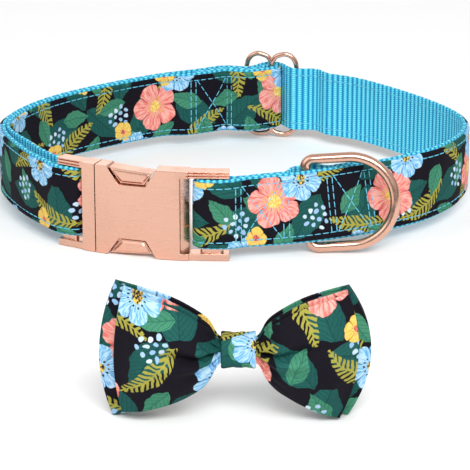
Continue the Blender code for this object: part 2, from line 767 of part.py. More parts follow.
def make_bow(colours):
    bow_loop("back", 0.0, colours["print"])
    bow_loop("front", BOW_PLEAT, colours["print"])

    # The knot is a band round the middle of both loops.
    knot_deep = loop_back("front", 1, 0.0, 0.0) + PINCH + GAP + KNOT_WALL
    centre = (knot_deep / 2, BOW_MID_Z)
    outer = rounded_loop(knot_deep, KNOT_HIGH, 3.0, centre, 4)
    inner = rounded_loop(knot_deep - 2 * KNOT_WALL, KNOT_HIGH - 2 * KNOT_WALL, 0.5, centre, 4)
    add_object("bow_knot", band_mesh(outer, inner, 0.0, KNOT_WIDE), colours["print"])

    # Behind each wing a band of elastic, closed on itself, takes the collar's strap.
    deep = ELASTIC_INNER_DEEP + 2 * ELASTIC_THICK
    centre = (KNOT_WALL - deep / 2, BOW_MID_Z)
    outer = rounded_loop(deep, ELASTIC_INNER_HIGH + 2 * ELASTIC_THICK, 2.4, centre, 4)
    inner = rounded_loop(ELASTIC_INNER_DEEP, ELASTIC_INNER_HIGH, 1.2, centre, 4)
    for name, side in (("bow_elastic_left", -1), ("bow_elastic_right", 1)):
        mesh = band_mesh(outer, inner, side * ELASTIC_X, ELASTIC_WIDE)
        add_object(name, mesh, colours["elastic"])


clear_scene()
palette = {
    "webbing": finish("turquoise_webbing", (0.03, 0.42, 0.62), 0.75),
    "print": finish("printed_cotton", (0.03, 0.07, 0.08), 0.85),
    "metal": finish("rose_gold_metal", (0.90, 0.58, 0.45), 0.25, metallic=1.0),
    "elastic": finish("black_elastic", (0.02, 0.02, 0.025), 0.8),
}
make_strap(palette)
make_female_buckle(palette)
make_male_buckle(palette)
make_d_ring(palette)
make_slider(palette)
make_bow(palette)
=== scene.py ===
"""The looks of a printed pet collar and its bow tie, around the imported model.

The sections follow the collar as it is sewn and put together. Sizes are in
millimetres, as they are in the model's source, and the meshes are in metres.
"""

import json
import math

import bmesh
import bpy
import numpy as np
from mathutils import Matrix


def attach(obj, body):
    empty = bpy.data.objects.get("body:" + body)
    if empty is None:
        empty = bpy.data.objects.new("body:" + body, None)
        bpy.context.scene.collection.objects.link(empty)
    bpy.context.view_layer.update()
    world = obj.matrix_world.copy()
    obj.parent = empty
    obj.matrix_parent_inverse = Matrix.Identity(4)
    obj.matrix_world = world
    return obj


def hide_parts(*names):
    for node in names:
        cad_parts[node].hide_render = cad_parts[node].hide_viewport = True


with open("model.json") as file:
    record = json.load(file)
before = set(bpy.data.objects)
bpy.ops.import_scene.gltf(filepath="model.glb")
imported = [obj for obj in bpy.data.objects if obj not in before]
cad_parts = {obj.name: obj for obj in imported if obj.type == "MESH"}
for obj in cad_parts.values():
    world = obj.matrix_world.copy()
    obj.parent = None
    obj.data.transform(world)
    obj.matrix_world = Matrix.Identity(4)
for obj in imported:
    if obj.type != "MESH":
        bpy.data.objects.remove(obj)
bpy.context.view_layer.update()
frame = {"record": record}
MM = 0.001


# The studio: a pale floor under soft light, with a long lens that looks 20 degrees
# down. The walls are darker than the ceiling, so that round metal has a dark line to mirror.
CAMERA_PLACE, CAMERA_DOWN = (0.00022, -0.84993, 0.318), 20.0
CAMERA_LENS, CAMERA_NEAR = 199.15, 0.05
FLOOR_HALF, FLOOR_LOW = 4.5, -0.0002
FLOOR_GREY, FLOOR_ROUGH = 0.93, 0.9
LAMPS = (
    # name, width and height, watts, place in metres; each one is aimed at the floor's middle
    ("key", (0.9, 0.6), 14.5, (0.2, -0.95, 0.9)),
    ("fill", (0.8, 0.8), 2.4, (-0.8, -0.5, 0.8)),
    ("low panel", (2.4, 0.5), 3.4, (0.0, 1.3, 0.48)),
)
WORLD_LIGHT = 0.62
DARK_BAND = 0.22                  # how bright the walls are, against the ceiling
BAND_FADE = (0.03, 0.3)           # the heights between which the wall turns into ceiling


def new_material(name):
    """A material and the shader in it."""
    material = bpy.data.materials.new(name)
    material.use_nodes = True
    return material, material.node_tree.nodes["Principled BSDF"]


def add_object(name, data):
    made = bpy.data.objects.new(name, data)
    bpy.context.scene.collection.objects.link(made)
    return made


bpy.context.scene.view_settings.view_transform = "Standard"
lens = bpy.data.cameras.new("camera")
lens.lens = CAMERA_LENS
lens.clip_start = CAMERA_NEAR
camera = add_object("camera", lens)
camera.location = CAMERA_PLACE
camera.rotation_euler = (math.radians(90.0 - CAMERA_DOWN), 0.0, 0.0)
bpy.context.scene.camera = camera

floor_mesh = bpy.data.meshes.new("floor")
corners = [(x * FLOOR_HALF, y * FLOOR_HALF, FLOOR_LOW) for x, y in ((-1, -1), (1, -1), (1, 1), (-1, 1))]
floor_mesh.from_pydata(corners, [], [(0, 1, 2, 3)])
pale, pale_shader = new_material("pale_floor")
pale_shader.inputs["Base Color"].default_value = (FLOOR_GREY, FLOOR_GREY, FLOOR_GREY, 1.0)
pale_shader.inputs["Roughness"].default_value = FLOOR_ROUGH
floor_mesh.materials.append(pale)
add_object("floor", floor_mesh)

for name, size, watts, place in LAMPS:
    lamp = bpy.data.lights.new(name, "AREA")
    lamp.shape = "RECTANGLE"
    lamp.size, lamp.size_y = size
    lamp.energy = watts
    holder = add_object(name, lamp)
    holder.location = place
    tilt = math.atan2(math.hypot(place[0], place[1]), place[2])
    holder.rotation_euler = (tilt, 0.0, math.atan2(-place[1], -place[0]) - math.pi / 2)

world = bpy.data.worlds.new("studio")
bpy.context.scene.world = world
world.use_nodes = True
sky = world.node_tree
kinds = ("TexCoord", "SeparateXYZ", "MapRange")
around, height, wall = (sky.nodes.new("ShaderNode" + kind) for kind in kinds)
wall.interpolation_type = "SMOOTHSTEP"
for name, value in zip(("From Min", "From Max", "To Min"), (*BAND_FADE, DARK_BAND)):
    wall.inputs[name].default_value = value
sky.nodes["Background"].inputs["Strength"].default_value = WORLD_LIGHT
sky.links.new(around.outputs["Generated"], height.inputs["Vector"])
sky.links.new(height.outputs["Z"], wall.inputs["Value"])
sky.links.new(wall.outputs["Result"], sky.nodes["Background"].inputs["Color"])


# The webbing: one length of turquoise nylon with crosswise ribs. It starts as the end
# sewn behind the right front, goes once round the neck, through the slider and round
# both buckle bars, and ends folded round the slider's middle bar.
GAP = 0.3
ORIGIN_X, ORIGIN_Y = -0.22, -23.77
STRAP_WIDTH = 25.4
WEBBING_THICK, COVER_THICK = 1.2, 1.0
STRAP_THICK = WEBBING_THICK + GAP + COVER_THICK
LAYER_PITCH = STRAP_THICK + GAP
STRAP_MID_Z = 17.0
BUCKLE_RADIUS = 110.0
SEAM_X, SEAM_Y, SEAM_HEADING = -47.6, -14.4, math.radians(-24.0)
FEMALE_BAR_START, MALE_BAR_START = 36.9, 8.4
BAR_THICK = 3.0
BAR_PITCH = BAR_THICK + 2 * GAP + STRAP_THICK
RING_WIRE, RING_BAR_X = 3.6, 26.6
TUNNEL_FLAT, TUNNEL_RAMP = 2.4, 8.4
TUNNEL_PITCH = RING_WIRE + 3.4 * GAP + STRAP_THICK
SLIDER_X, SLIDER_Y, SLIDER_HEADING = 14.5, 115.0, math.radians(-8.0)
SLIDER_PITCH, SLIDER_BAR = 10.0, 2.2
SLIDER_LEAD = (19.0, 13.0)        # where the strap runs straight up to the slider's side bar
SLIDER_RETURN = 34.0
ROUTE_STEP, RING_NEAR = 1.7, 9.5  # one point in three is kept, and all of them this near the ring
LEFT_STEP = 4.0
BAR_LEAD, BAR_RETURN = (0.0, 3.6, 7.2), (5.6, 0.0)   # where the strap runs straight past a buckle bar
STRAP_STEP = 0.5
RIB_PITCH, RIB_DEPTH, RIB_POINTS = 2.2, 0.3, 6
RIB_ROUND = 0.7                   # under 1 for ribs that are wider than the valleys between them
YARN_PITCH = 0.8
EDGE_IN, EDGE_ROLL, EDGE_RIB = 0.08, (0.2, 0.22), 0.6
RIGHT_ROUTE = (
    # x, y of the outer layer's middle line, from the buckle round to the slider
    (3.0, -24.3), (9.0, -22.7), (18.0, -20.5), (27.0, -17.5), (37.0, -13.2), (46.0, -8.8),
    (55.0, -3.9), (65.0, 3.0), (73.0, 10.6), (79.2, 19.8), (83.6, 30.6), (85.2, 41.5),
    (83.4, 51.5), (77.6, 63.2), (67.6, 77.0), (55.5, 90.6), (43.0, 100.8), (34.5, 106.8),
)
LEFT_ROUTE = (
    # x, y of the outer layer's middle line, from the slider round to the buckle
    (-10.8, 112.3), (-24.8, 106.2), (-39.5, 98.0), (-52.8, 88.6), (-64.4, 79.0),
    (-74.2, 68.2), (-81.0, 57.2), (-84.9, 46.4), (-85.6, 37.4), (-84.1, 29.0),
    (-80.9, 20.0), (-76.6, 11.0), (-71.8, 2.6), (-66.8, -4.6),
)
RIGHT_SPACING = (
    # x, how far the folded-back right end lies behind the outer layer
    (-9.0, BAR_PITCH), (-3.2, BAR_PITCH), (3.0, LAYER_PITCH),
    (RING_BAR_X - TUNNEL_RAMP, LAYER_PITCH), (RING_BAR_X - TUNNEL_FLAT, TUNNEL_PITCH),
    (RING_BAR_X + TUNNEL_FLAT, TUNNEL_PITCH), (RING_BAR_X + TUNNEL_RAMP, LAYER_PITCH),
    (50.0, LAYER_PITCH),
)
RIGHT_END_X = 50.0
LEFT_SPACING = (
    # distance from the male bar, how far the inner left layer lies behind the outer one
    (0.0, BAR_PITCH), (14.0, 6.6), (32.0, 6.0), (62.0, LAYER_PITCH), (149.0, LAYER_PITCH),
    (160.0, 2 * LAYER_PITCH),
)
FRONT_LEAN = (
    # x, how many degrees the right front's upper edge leans towards the neck
    (-6.0, 0.0), (17.0, 7.0), (33.0, 14.0), (46.0, 17.0), (62.0, 12.0), (76.0, 4.0), (84.0, 0.0),
)
FRONT_LEAN_Y = 35.0               # no lean behind this
NECK_X, NECK_Y = 0.0, 45.0


def to_part(x, y):
    return x - ORIGIN_X, y - ORIGIN_Y


def smooth_curve(rows, step):
    """Points about one step apart on a natural cubic spline through the rows."""
    knots = np.array(rows, dtype=float)
    run = run_length(knots)
    gaps = np.diff(run)
    count = len(run)
    matrix = np.eye(count)
    right = np.zeros((count, knots.shape[1]))
    for i in range(1, count - 1):
        matrix[i, i - 1:i + 2] = gaps[i - 1], 2 * (gaps[i - 1] + gaps[i]), gaps[i]
        right[i] = 6 * ((knots[i + 1] - knots[i]) / gaps[i] - (knots[i] - knots[i - 1]) / gaps[i - 1])
    bend = np.linalg.solve(matrix, right)
    places = np.linspace(0.0, run[-1], max(2, int(round(run[-1] / step)) + 1))
    i = np.clip(np.searchsorted(run, places, side="right") - 1, 0, count - 2)
    before = ((places - run[i]) / gaps[i])[:, None]
    after = 1.0 - before
    curve = (after ** 3 - after) * bend[i] + (before ** 3 - before) * bend[i + 1]
    return after * knots[i] + before * knots[i + 1] + curve * gaps[i][:, None] ** 2 / 6


def table_value(rows, at):
    """A value read from a table, eased from row to row."""
    if at <= rows[0][0]:
        return rows[0][1]
    for (low, low_value), (high, high_value) in zip(rows, rows[1:]):
        if at <= high:
            eased = (1 - math.cos(math.pi * (at - low) / (high - low))) / 2
            return low_value + (high_value - low_value) * eased
    return rows[-1][1]


def right_hand(points):
    """Unit vectors to the right of the way the points run, at each point."""
    along = np.gradient(points, axis=0)
    along /= np.linalg.norm(along, axis=1)[:, None]
    return np.stack([along[:, 1], -along[:, 0]], axis=1)


def beside(points, distance):
    return points + right_hand(points) * np.reshape(distance, (-1, 1))


def arc(centre, radius, start, end, steps):
    angles = np.radians(np.linspace(start, end, steps + 1))
    return np.stack([centre[0] + radius * np.cos(angles), centre[1] + radius * np.sin(angles)], axis=1)


def run_length(points):
    return np.concatenate([[0.0], np.cumsum(np.linalg.norm(np.diff(points, axis=0), axis=1))])


def buckle_place(along, outward):
    """The plan place of a point on the curved buckle: along from the seam, out from its mid-plane."""
    heading = SEAM_HEADING + along / BUCKLE_RADIUS
    centre_x = SEAM_X - BUCKLE_RADIUS * math.sin(SEAM_HEADING)
    centre_y = SEAM_Y + BUCKLE_RADIUS * math.cos(SEAM_HEADING)
    reach = BUCKLE_RADIUS + outward
    return centre_x + reach * math.sin(heading), centre_y - reach * math.cos(heading)


def slider_place(across, outward):
    """The plan place of a point on the slider: across to the right, out from the neck."""
    cos, sin = math.cos(SLIDER_HEADING), math.sin(SLIDER_HEADING)
    return SLIDER_X + across * cos - outward * sin, SLIDER_Y + across * sin + outward * cos


def strap_route():
    """The strap's middle line and the index at which each of its stretches starts.

    The printed face is on the right of the way it runs, all along.
    """
    wrap = BAR_THICK / 2 + GAP + STRAP_THICK / 2
    slider_wrap = SLIDER_BAR / 2 + GAP + STRAP_THICK / 2
    pitch = SLIDER_PITCH

    # Over the female bar, the right front, the right end and the right back.
    female_axis = FEMALE_BAR_START + BAR_THICK / 2
    start = [buckle_place(female_axis + past, wrap) for past in BAR_LEAD]
    slider_in = [slider_place(across, -slider_wrap) for across in SLIDER_LEAD]
    fine = smooth_curve(start + list(RIGHT_ROUTE) + slider_in, ROUTE_STEP)
    near_ring = np.abs(fine[:, 0] - RING_BAR_X) + np.maximum(fine[:, 1], 0) < RING_NEAR
    keep = near_ring | (np.arange(len(fine)) % 3 == 0)
    keep[-1] = True
    outer_right = fine[keep]

    # The folded-back right end, behind the outer layer, run from its cut end to the bar.
    behind = [point - side * table_value(RIGHT_SPACING, point[0])
              for point, side in zip(outer_right, right_hand(outer_right))
              if point[0] <= RIGHT_END_X and point[1] < 0]
    behind = np.array(behind)[::-1]
    heading = math.degrees(SEAM_HEADING + female_axis / BUCKLE_RADIUS)
    female_wrap = arc(buckle_place(female_axis, 0.0), wrap, heading + 90, heading + 270, 10)

    # Through the slider: under the right bar, over the middle one, under the left one.
    over = slider_wrap + LAYER_PITCH
    lean = math.degrees(math.asin((over + slider_wrap) / pitch))
    weave = np.concatenate([
        arc((pitch, 0.0), slider_wrap, 270, 270 - lean, 5),
        arc((0.0, 0.0), over, 90 - lean, 90 + lean, 8),
        arc((-pitch, 0.0), slider_wrap, 270 + lean, 270, 5),
    ])

    # The left back, the left end and the left front, then round the male bar.
    male_axis = -(MALE_BAR_START + BAR_THICK / 2)
    slider_out = [slider_place(-across, -slider_wrap) for across in SLIDER_LEAD[::-1]]
    last = [buckle_place(male_axis - before, wrap) for before in BAR_RETURN]
    outer_left = smooth_curve(slider_out + list(LEFT_ROUTE) + last, LEFT_STEP)
    heading = math.degrees(SEAM_HEADING + male_axis / BUCKLE_RADIUS)
    male_wrap = arc(buckle_place(male_axis, 0.0), wrap, heading - 90, heading + 90, 10)

    # Back again as the inner layer, as far as the slider.
    back = outer_left[::-1]
    inner_left = beside(back, [table_value(LEFT_SPACING, at) for at in run_length(back)])

    # Round the slider's middle bar, and back between the two layers.
    under = slider_wrap + 2 * LAYER_PITCH
    dip = math.degrees(math.asin((under - slider_wrap) / pitch))
    turn = np.concatenate([
        arc((-pitch, 0.0), under, 270, 270 + dip, 3),
        arc((0.0, 0.0), slider_wrap, 270 + dip, 450 + lean, 14),
        arc((-pitch, 0.0), over, 270 + lean, 270, 5),
    ])
    weave, turn = (np.array([slider_place(*point) for point in line]) for line in (weave, turn))
    returned = np.array([point for point in beside(outer_left, -LAYER_PITCH)
                         if math.dist(point, (SLIDER_X, SLIDER_Y)) < SLIDER_RETURN])

    stretches = {"behind": behind, "female_wrap": female_wrap, "outer_right": outer_right[1:],
                 "weave": weave, "outer_left": outer_left, "male_wrap": male_wrap[1:-1],
                 "inner_left": inner_left, "turn": turn, "returned": returned}
    counts = np.cumsum([0] + [len(points) for points in stretches.values()])
    return np.concatenate(list(stretches.values())), dict(zip(stretches, counts))


class Strap:
    """The strap's line, fine and smooth, read by the distance along it."""

    def __init__(self):
        corners, starts = strap_route()
        reached = run_length(corners)
        self.starts = {name: reached[i] for name, i in starts.items()}
        self.line = smooth_curve(corners, STRAP_STEP)
        self.side = right_hand(self.line)
        self.run = run_length(self.line)
        self.length = self.run[-1]
        lean = np.array([table_value(FRONT_LEAN, x) if y <= FRONT_LEAN_Y else 0.0 for x, y in self.line])
        away = self.line - (NECK_X, NECK_Y)
        self.lean = np.radians(lean) * np.where((self.side * away).sum(axis=1) < 0, -1.0, 1.0)

    def point(self, along, up, out):
        """The place in the part's frame, in millimetres, of points on or off the strap."""
        along, up, out = np.broadcast_arrays(*(np.asarray(v, dtype=float) for v in (along, up, out)))
        middle, side = (np.stack([np.interp(along, self.run, rows[:, k]) for k in (0, 1)], axis=-1)
                        for rows in (self.line, self.side))
        side /= np.linalg.norm(side, axis=-1, keepdims=True)
        lean = np.interp(along, self.run, self.lean)
        place = middle + side * (out * np.cos(lean) - up * np.sin(lean))[..., None]
        x, y = to_part(place[..., 0], place[..., 1])
        return np.stack([x, y, STRAP_MID_Z + up * np.cos(lean) + out * np.sin(lean)], axis=-1)

    def along_at_x(self, x, stretch, after, behind=False):
        """Where a stretch of the strap passes an x, in the front or the back half of the loop."""
        inside = (self.run >= self.starts[stretch]) & (self.run < self.starts[after])
        inside &= (self.line[:, 1] > NECK_Y) == behind
        return self.run[np.argmin(np.where(inside, np.abs(self.line[:, 0] - x), 1e9))]


def tube_faces(rings, around, closed=False):
    """The faces of a skin through rings of points, open or closed on itself, with end caps if open."""
    faces = []
    for i in range(rings if closed else rings - 1):
        j = (i + 1) % rings
        for k in range(around):
            m = (k + 1) % around
            faces.append((i * around + k, i * around + m, j * around + m, j * around + k))
    if not closed:
        last = (rings - 1) * around
        faces += [tuple(range(around))[::-1], tuple(range(last, last + around))]
    return faces


def closed_mesh(name, points, faces):
    """A mesh from points in millimetres, with its faces turned outward."""
    mesh = bpy.data.meshes.new(name)
    mesh.from_pydata((np.asarray(points, dtype=float).reshape(-1, 3) * MM).tolist(), [], faces)
    shape = bmesh.new()
    shape.from_mesh(mesh)
    bmesh.ops.recalc_face_normals(shape, faces=shape.faces)
    shape.to_mesh(mesh)
    shape.free()
    return mesh


def make_piece(name, points, faces, material, cloth=None, sharp=40.0):
    """A smooth-shaded piece, with cloth places for its weave and print."""
    mesh = closed_mesh(name, points, faces)
    if cloth is not None:
        places = mesh.attributes.new("cloth", "FLOAT_VECTOR", "POINT")
        places.data.foreach_set("vector", np.asarray(cloth, dtype=np.float32).ravel())
    mesh.materials.append(material)
    mesh.shade_smooth()
    mesh.set_sharp_from_angle(angle=math.radians(sharp))
    return add_object(name, mesh)


def fit(piece, node=None, body="root"):
    """The piece rides on a body, in place of a node, which is hidden."""
    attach(piece, body)
    if node:
        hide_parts(node)


def rgb(hexa):
    """A linear colour from a six-figure web colour."""
    parts = [int(hexa[i:i + 2], 16) / 255 for i in (0, 2, 4)]
    return tuple(c / 12.92 if c <= 0.04045 else ((c + 0.055) / 1.055) ** 2.4 for c in parts) + (1.0,)


class Signal:
    """One output of a node, which can be reckoned with as if it were its value."""

    def __init__(self, socket):
        self.socket, self.tree = socket, socket.id_data

    def __add__(self, other):
        return reckon("ADD", self, other)

    def __sub__(self, other):
        return reckon("SUBTRACT", self, other)

    def __rsub__(self, other):
        return reckon("SUBTRACT", other, self)

    def __mul__(self, other):
        return reckon("MULTIPLY", self, other)

    def __truediv__(self, other):
        return reckon("DIVIDE", self, other)

    def __pow__(self, other):
        return reckon("POWER", self, other)

    def __abs__(self):
        return reckon("ABSOLUTE", self)

    def sine(self):
        return reckon("SINE", self)

    def floor(self):
        return reckon("FLOOR", self)

    def length(self):
        return reckon("LENGTH", self, output="Value")

    def part(self, axis):
        return put(self.tree, "SeparateXYZ", {0: self}, axis)

    def step(self, low, high):
        """0 below low, 1 above high, eased between; high may be the lower one."""
        inputs = {"Value": self, "From Min": low, "From Max": high}
        return put(self.tree, "MapRange", inputs, interpolation_type="SMOOTHSTEP")

    def noise(self, scale, detail=2.0, output=0):
        return put(self.tree, "TexNoise", {"Vector": self, "Scale": scale, "Detail": detail}, output)

    def bump(self, strength, distance):
        return put(self.tree, "Bump", {"Strength": strength, "Distance": distance, "Height": self})


def tree_of(values):
    return next(value.tree for value in values if isinstance(value, Signal))


def feed(node, inputs):
    """Link signals to a node's sockets, and set numbers and colours on them."""
    for socket, value in inputs.items():
        if isinstance(value, Signal):
            node.id_data.links.new(value.socket, node.inputs[socket])
        else:
            node.inputs[socket].default_value = rgb(value) if isinstance(value, str) else value


def put(tree, kind, inputs, output=0, **settings):
    """Add a node to a tree, and give back one of its outputs."""
    node = tree.nodes.new("ShaderNode" + kind)
    for name, value in settings.items():
        setattr(node, name, value)
    feed(node, inputs)
    return Signal(node.outputs[output])


def reckon(operation, *values, output=0):
    """A sum worked out by a node, on numbers, or on vectors where the first signal is one."""
    first = next(value for value in values if isinstance(value, Signal))
    kind = "Math" if first.socket.type == "VALUE" else "VectorMath"
    return put(first.tree, kind, dict(enumerate(values)), output, operation=operation)


def tint(share, first, second):
    """The first colour with a share of the second one."""
    return put(tree_of((share, first, second)), "Mix", {0: share, 6: first, 7: second}, 2, data_type="RGBA")


def cloth_material(name):
    """A material, its shader, and the piece's cloth places."""
    material, shader = new_material(name)
    return material, shader, put(material.node_tree, "Attribute", {}, "Vector", attribute_name="cloth")


def webbing_material():
    """Nylon whose warp yarns cross the ribs in steps, with painted highlight on each rib's crown and
    painted shade in the valleys.
    """
    material, shader, cloth = cloth_material("turquoise_nylon")
    rib = cloth.part(0) / RIB_PITCH
    crown = abs((rib * math.pi).sine()) ** 1.6
    yarn = (cloth.part(1) * (2 * math.pi / YARN_PITCH) + rib.floor() * math.pi).sine() * 0.5 + 0.5
    strand = (cloth * (0.6, 6.0, 1.0)).noise(1.0, 3.0)
    height = (yarn * 0.6 + 0.4) * crown + strand * 0.35
    # The colour follows the relief: painted highlight on the rib crowns and raised yarns, painted shade in
    # the valleys and where a yarn dips; the strand noise is the yarns' own random tone.
    feed(shader, {"Base Color": tint(height.step(0.1, 1.15), "007FB8", "78F2FF"),
                  "Roughness": strand * 0.25 + 0.38, "Normal": height.bump(0.7, 0.0003),
                  "Sheen Weight": 0.04, "Specular IOR Level": 0.18})
    return material


def make_webbing(strap, material):
    along = np.append(np.arange(0.0, strap.length, RIB_PITCH / RIB_POINTS), strap.length)
    half = STRAP_WIDTH / 2
    near, far = -STRAP_THICK / 2, -STRAP_THICK / 2 + WEBBING_THICK
    middle, edge = (near + far) / 2, half - EDGE_IN
    ribbed = (0.985, 0.93, 0.75, 0.5, 0.25, 0.0, -0.25, -0.5, -0.75, -0.93, -0.985)
    section = [
        # out from the strap's middle line, height, share of the rib's depth
        *((far, share * half, 0.0) for share in (-0.96, -0.5, 0.5, 0.96)),
        (far - EDGE_ROLL[0], edge, 0.5), (middle, half, 1.0), (near + EDGE_ROLL[1], edge, 1.0),
        *((near, share * half, 1.0) for share in ribbed),
        (near + EDGE_ROLL[1], -edge, 1.0), (middle, -half, 1.0), (far - EDGE_ROLL[0], -edge, 0.5),
    ]
    out, up, share = (np.array(column)[None, :] for column in zip(*section))
    valley = (1 - np.abs(np.sin(math.pi * along / RIB_PITCH)) ** RIB_ROUND)[:, None] * RIB_DEPTH * share
    facing = np.clip((out - middle) / (WEBBING_THICK / 2), -1, 1)
    rounded = np.where(np.abs(up) > 0.97 * half, np.sign(up), 0.0)
    points = strap.point(along[:, None], up - rounded * EDGE_RIB * valley, out - facing * valley)
    cloth = np.stack(np.broadcast_arrays(along[:, None], up, 0.0 * up), axis=-1)
    piece = make_piece("nylon_webbing", points, tube_faces(len(along), len(section)), material, cloth, 80.0)
    fit(piece, "webbing")
    round(strap.length) * MM


strap = Strap()
make_webbing(strap, webbing_material())


# The printed cover: twill cotton with its edges folded under, sewn to one face of the
# webbing. Its print is a garden of leaves, blossoms and berries on a near-black ground.
COVER_MARGIN = 0.85
SEAM_IN = 2.0                     # from the cover's edge in to its edge stitching
COVER_HALF = STRAP_WIDTH / 2 - COVER_MARGIN
SEAM_HIGH = COVER_HALF - SEAM_IN
COVER_STEP = 0.8
COVER_BACK, COVER_ROLL = 0.02, 0.3      # its back, out from the strap's middle line
PUCKER_DEEP, PUCKER_LONG, PUCKER_WIDE = 0.05, 3.0, 1.2
COVER_WAVES = ((0.07, 7.3, 5.1), (0.05, 3.1, -2.7))     # depth, and length along and across
TWILL_PITCH = 0.62
GROUND, GROUND_LIT = "0D0A12", "16121E"
GOLD, CORAL, NIGHT = "E3B84B", "E8736C", "241F2C"
PRINT_LAYERS = (
    # motif; its repeat's width, height and shift, and how far it strays; its size; its tones; the
    # seed of its draws; the share of its places that it fills
    ("leaf", (21.0, 15.5, (3.0, 5.0), 3.0), (20.0, 10.5), ("164A48", "24635B", "0E3636"), 1.0, 0.95),
    ("frond", (29.0, 19.0, (11.0, 2.0), 4.0), (24.0, 3.6), ("8C9440", "B9A94A"), 2.0, 0.75),
    ("leaf", (17.0, 14.0, (8.5, 9.0), 4.0), (13.0, 6.4), ("35795F", "4F9675", "1E584C"), 3.0, 0.7),
    ("berry", (31.0, 23.0, (21.0, 9.0), 4.0), (0.9, 0.7, 4.6), ("8CB7E0", "D7E7F5"), 7.0, 0.6),
    ("blossom", (47.0, 33.0, (26.0, -16.0), 6.0), (9.6, 5.0, 0.32),
     (CORAL, "F5B3A6", "C9505A", GOLD, "F6DC8A"), 4.0, 0.7),
    ("blossom", (43.0, 29.0, (2.0, -3.5), 6.0), (8.0, 6.0, 0.3),
     ("62ADE0", "BDE0F5", "2F78B8", NIGHT, "E7C65A"), 5.0, 0.85),
    ("blossom", (37.0, 22.0, (15.0, 4.0), 6.0), (4.2, 4.0, 0.25),
     (GOLD, "F3D273", "B9832E", CORAL, "8C3A2E"), 6.0, 0.45),
)
BERRY_WIDE, BERRY_HIGH, BERRY_STRAY, BERRY_SEED = 2.8, 2.3, 0.5, 8.0


def named_outputs(node):
    return {socket.name: Signal(socket) for socket in node.outputs}


def new_group(name, inputs, outputs):
    """A node group with named sockets: the group, its inputs by name, and its output node."""
    group = bpy.data.node_groups.new(name, "ShaderNodeTree")
    kinds = {"Cloth": "Vector", "Place": "Vector", "Shift": "Vector", "Color": "Color"}
    for way, sockets in (("INPUT", inputs), ("OUTPUT", outputs)):
        for socket in sockets:
            kind = "NodeSocket" + kinds.get(socket, "Float")
            group.interface.new_socket(name=socket, in_out=way, socket_type=kind)
    return group, named_outputs(group.nodes.new("NodeGroupInput")), group.nodes.new("NodeGroupOutput")


def place_group(group, inputs):
    """A group placed in the tree of its inputs, and its outputs by name."""
    node = tree_of(inputs.values()).nodes.new("ShaderNodeGroup")
    node.node_tree = group
    feed(node, inputs)
    return named_outputs(node)


def scatter_group():
    """One motif in each cell of a half-drop repeat, moved and turned by chance."""
    group, given, made = new_group(
        "scattered_motif", ("Cloth", "Wide", "High", "Shift", "Stray", "Turn", "Seed"), ("Place", "Draw"))
    moved = given["Cloth"] - given["Shift"]
    y = moved.part(1) / given["High"]
    row = y.floor()
    x = row * 0.5 + moved.part(0) / given["Wide"]
    column = x.floor()
    cell = put(group, "CombineXYZ", {0: column, 1: row, 2: given["Seed"]})
    chance = put(group, "TexWhiteNoise", {"Vector": cell}, "Color", noise_dimensions="3D")
    draw = put(group, "TexWhiteNoise", {"Vector": cell + (0.5, 7.5, 3.5)}, "Value", noise_dimensions="3D")
    local = [(place - index - 0.5) * given[size] - (chance.part(axis) - 0.5) * given["Stray"]
             for axis, (place, index, size) in enumerate(((x, column, "Wide"), (y, row, "High")))]
    flat = put(group, "CombineXYZ", dict(enumerate(local)))
    turn = (chance.part(2) - 0.5) * given["Turn"]
    turned = put(group, "VectorRotate", {"Vector": flat, "Angle": turn}, rotation_type="Z_AXIS")
    feed(made, {"Place": turned, "Draw": draw})
    return group


def leaf_group():
    """A pointed leaf with a midrib and slanted veins."""
    group, given, made = new_group("painted_leaf", ("Place", "Long", "Wide"), ("Shape", "Vein", "Half"))
    x, y = given["Place"].part(0), given["Place"].part(1)
    share = x / (given["Long"] * 0.5)
    bulge = reckon("MAXIMUM", 1.0 - share * share, 0.0)
    width = bulge * (share * -0.38 + 1.0) * (given["Wide"] * 0.5)
    off = abs(y)
    slant = reckon("PINGPONG", off * -1.1 + x, 0.95)
    vein = reckon("MAXIMUM", slant.step(0.24, 0.08), off.step(0.3, 0.12))
    feed(made, {"Shape": (width - off).step(0.0, 0.22), "Vein": vein, "Half": y.step(-0.05, 0.05)})
    return group


def blossom_group():
    """An open flower: petals with a notch between them, fine streaks, and a dotted eye."""
    group, given, made = new_group("painted_blossom", ("Place", "Radius", "Petals", "Notch"),
                                   ("Shape", "Crease", "Streak", "Eye", "Dots"))
    share = given["Place"].length() / given["Radius"]
    angle = reckon("ARCTAN2", given["Place"].part(1), given["Place"].part(0))
    wave = abs(reckon("COSINE", angle * given["Petals"] * 0.5))
    edge = 1.0 - (1.0 - wave ** 0.45) * given["Notch"]
    ray = put(group, "CombineXYZ", {0: angle * 6.0, 1: share * 1.6})
    spokes = reckon("COSINE", angle * 13.0).step(0.2, 0.6)
    feed(made, {"Shape": ((edge - share) * given["Radius"]).step(0.0, 0.25),
                "Crease": wave.step(0.22, 0.05) * share.step(0.25, 0.5),
                "Streak": ray.noise(1.6),
                "Eye": share.step(0.27, 0.21),
                "Dots": spokes * abs(share - 0.35).step(0.055, 0.02)})
    return group


def frond_group():
    """A slender stem with narrow leaflets on both sides."""
    group, given, made = new_group("painted_frond", ("Place", "Long", "Reach"), ("Shape",))
    x, y = given["Place"].part(0), given["Place"].part(1)
    share = abs(x) / (given["Long"] * 0.5)
    taper = reckon("SQRT", reckon("MAXIMUM", 1.0 - share, 0.0))
    off = abs(x * x * 0.018 + y)
    leaflet = reckon("PINGPONG", off * -0.75 + x, 0.9).step(0.3, 0.5)
    reach = (given["Reach"] * taper - off).step(0.0, 0.3)
    stem = off.step(0.34, 0.18) * share.step(1.0, 0.96)
    feed(made, {"Shape": reckon("MAXIMUM", leaflet * reach, stem)})
    return group


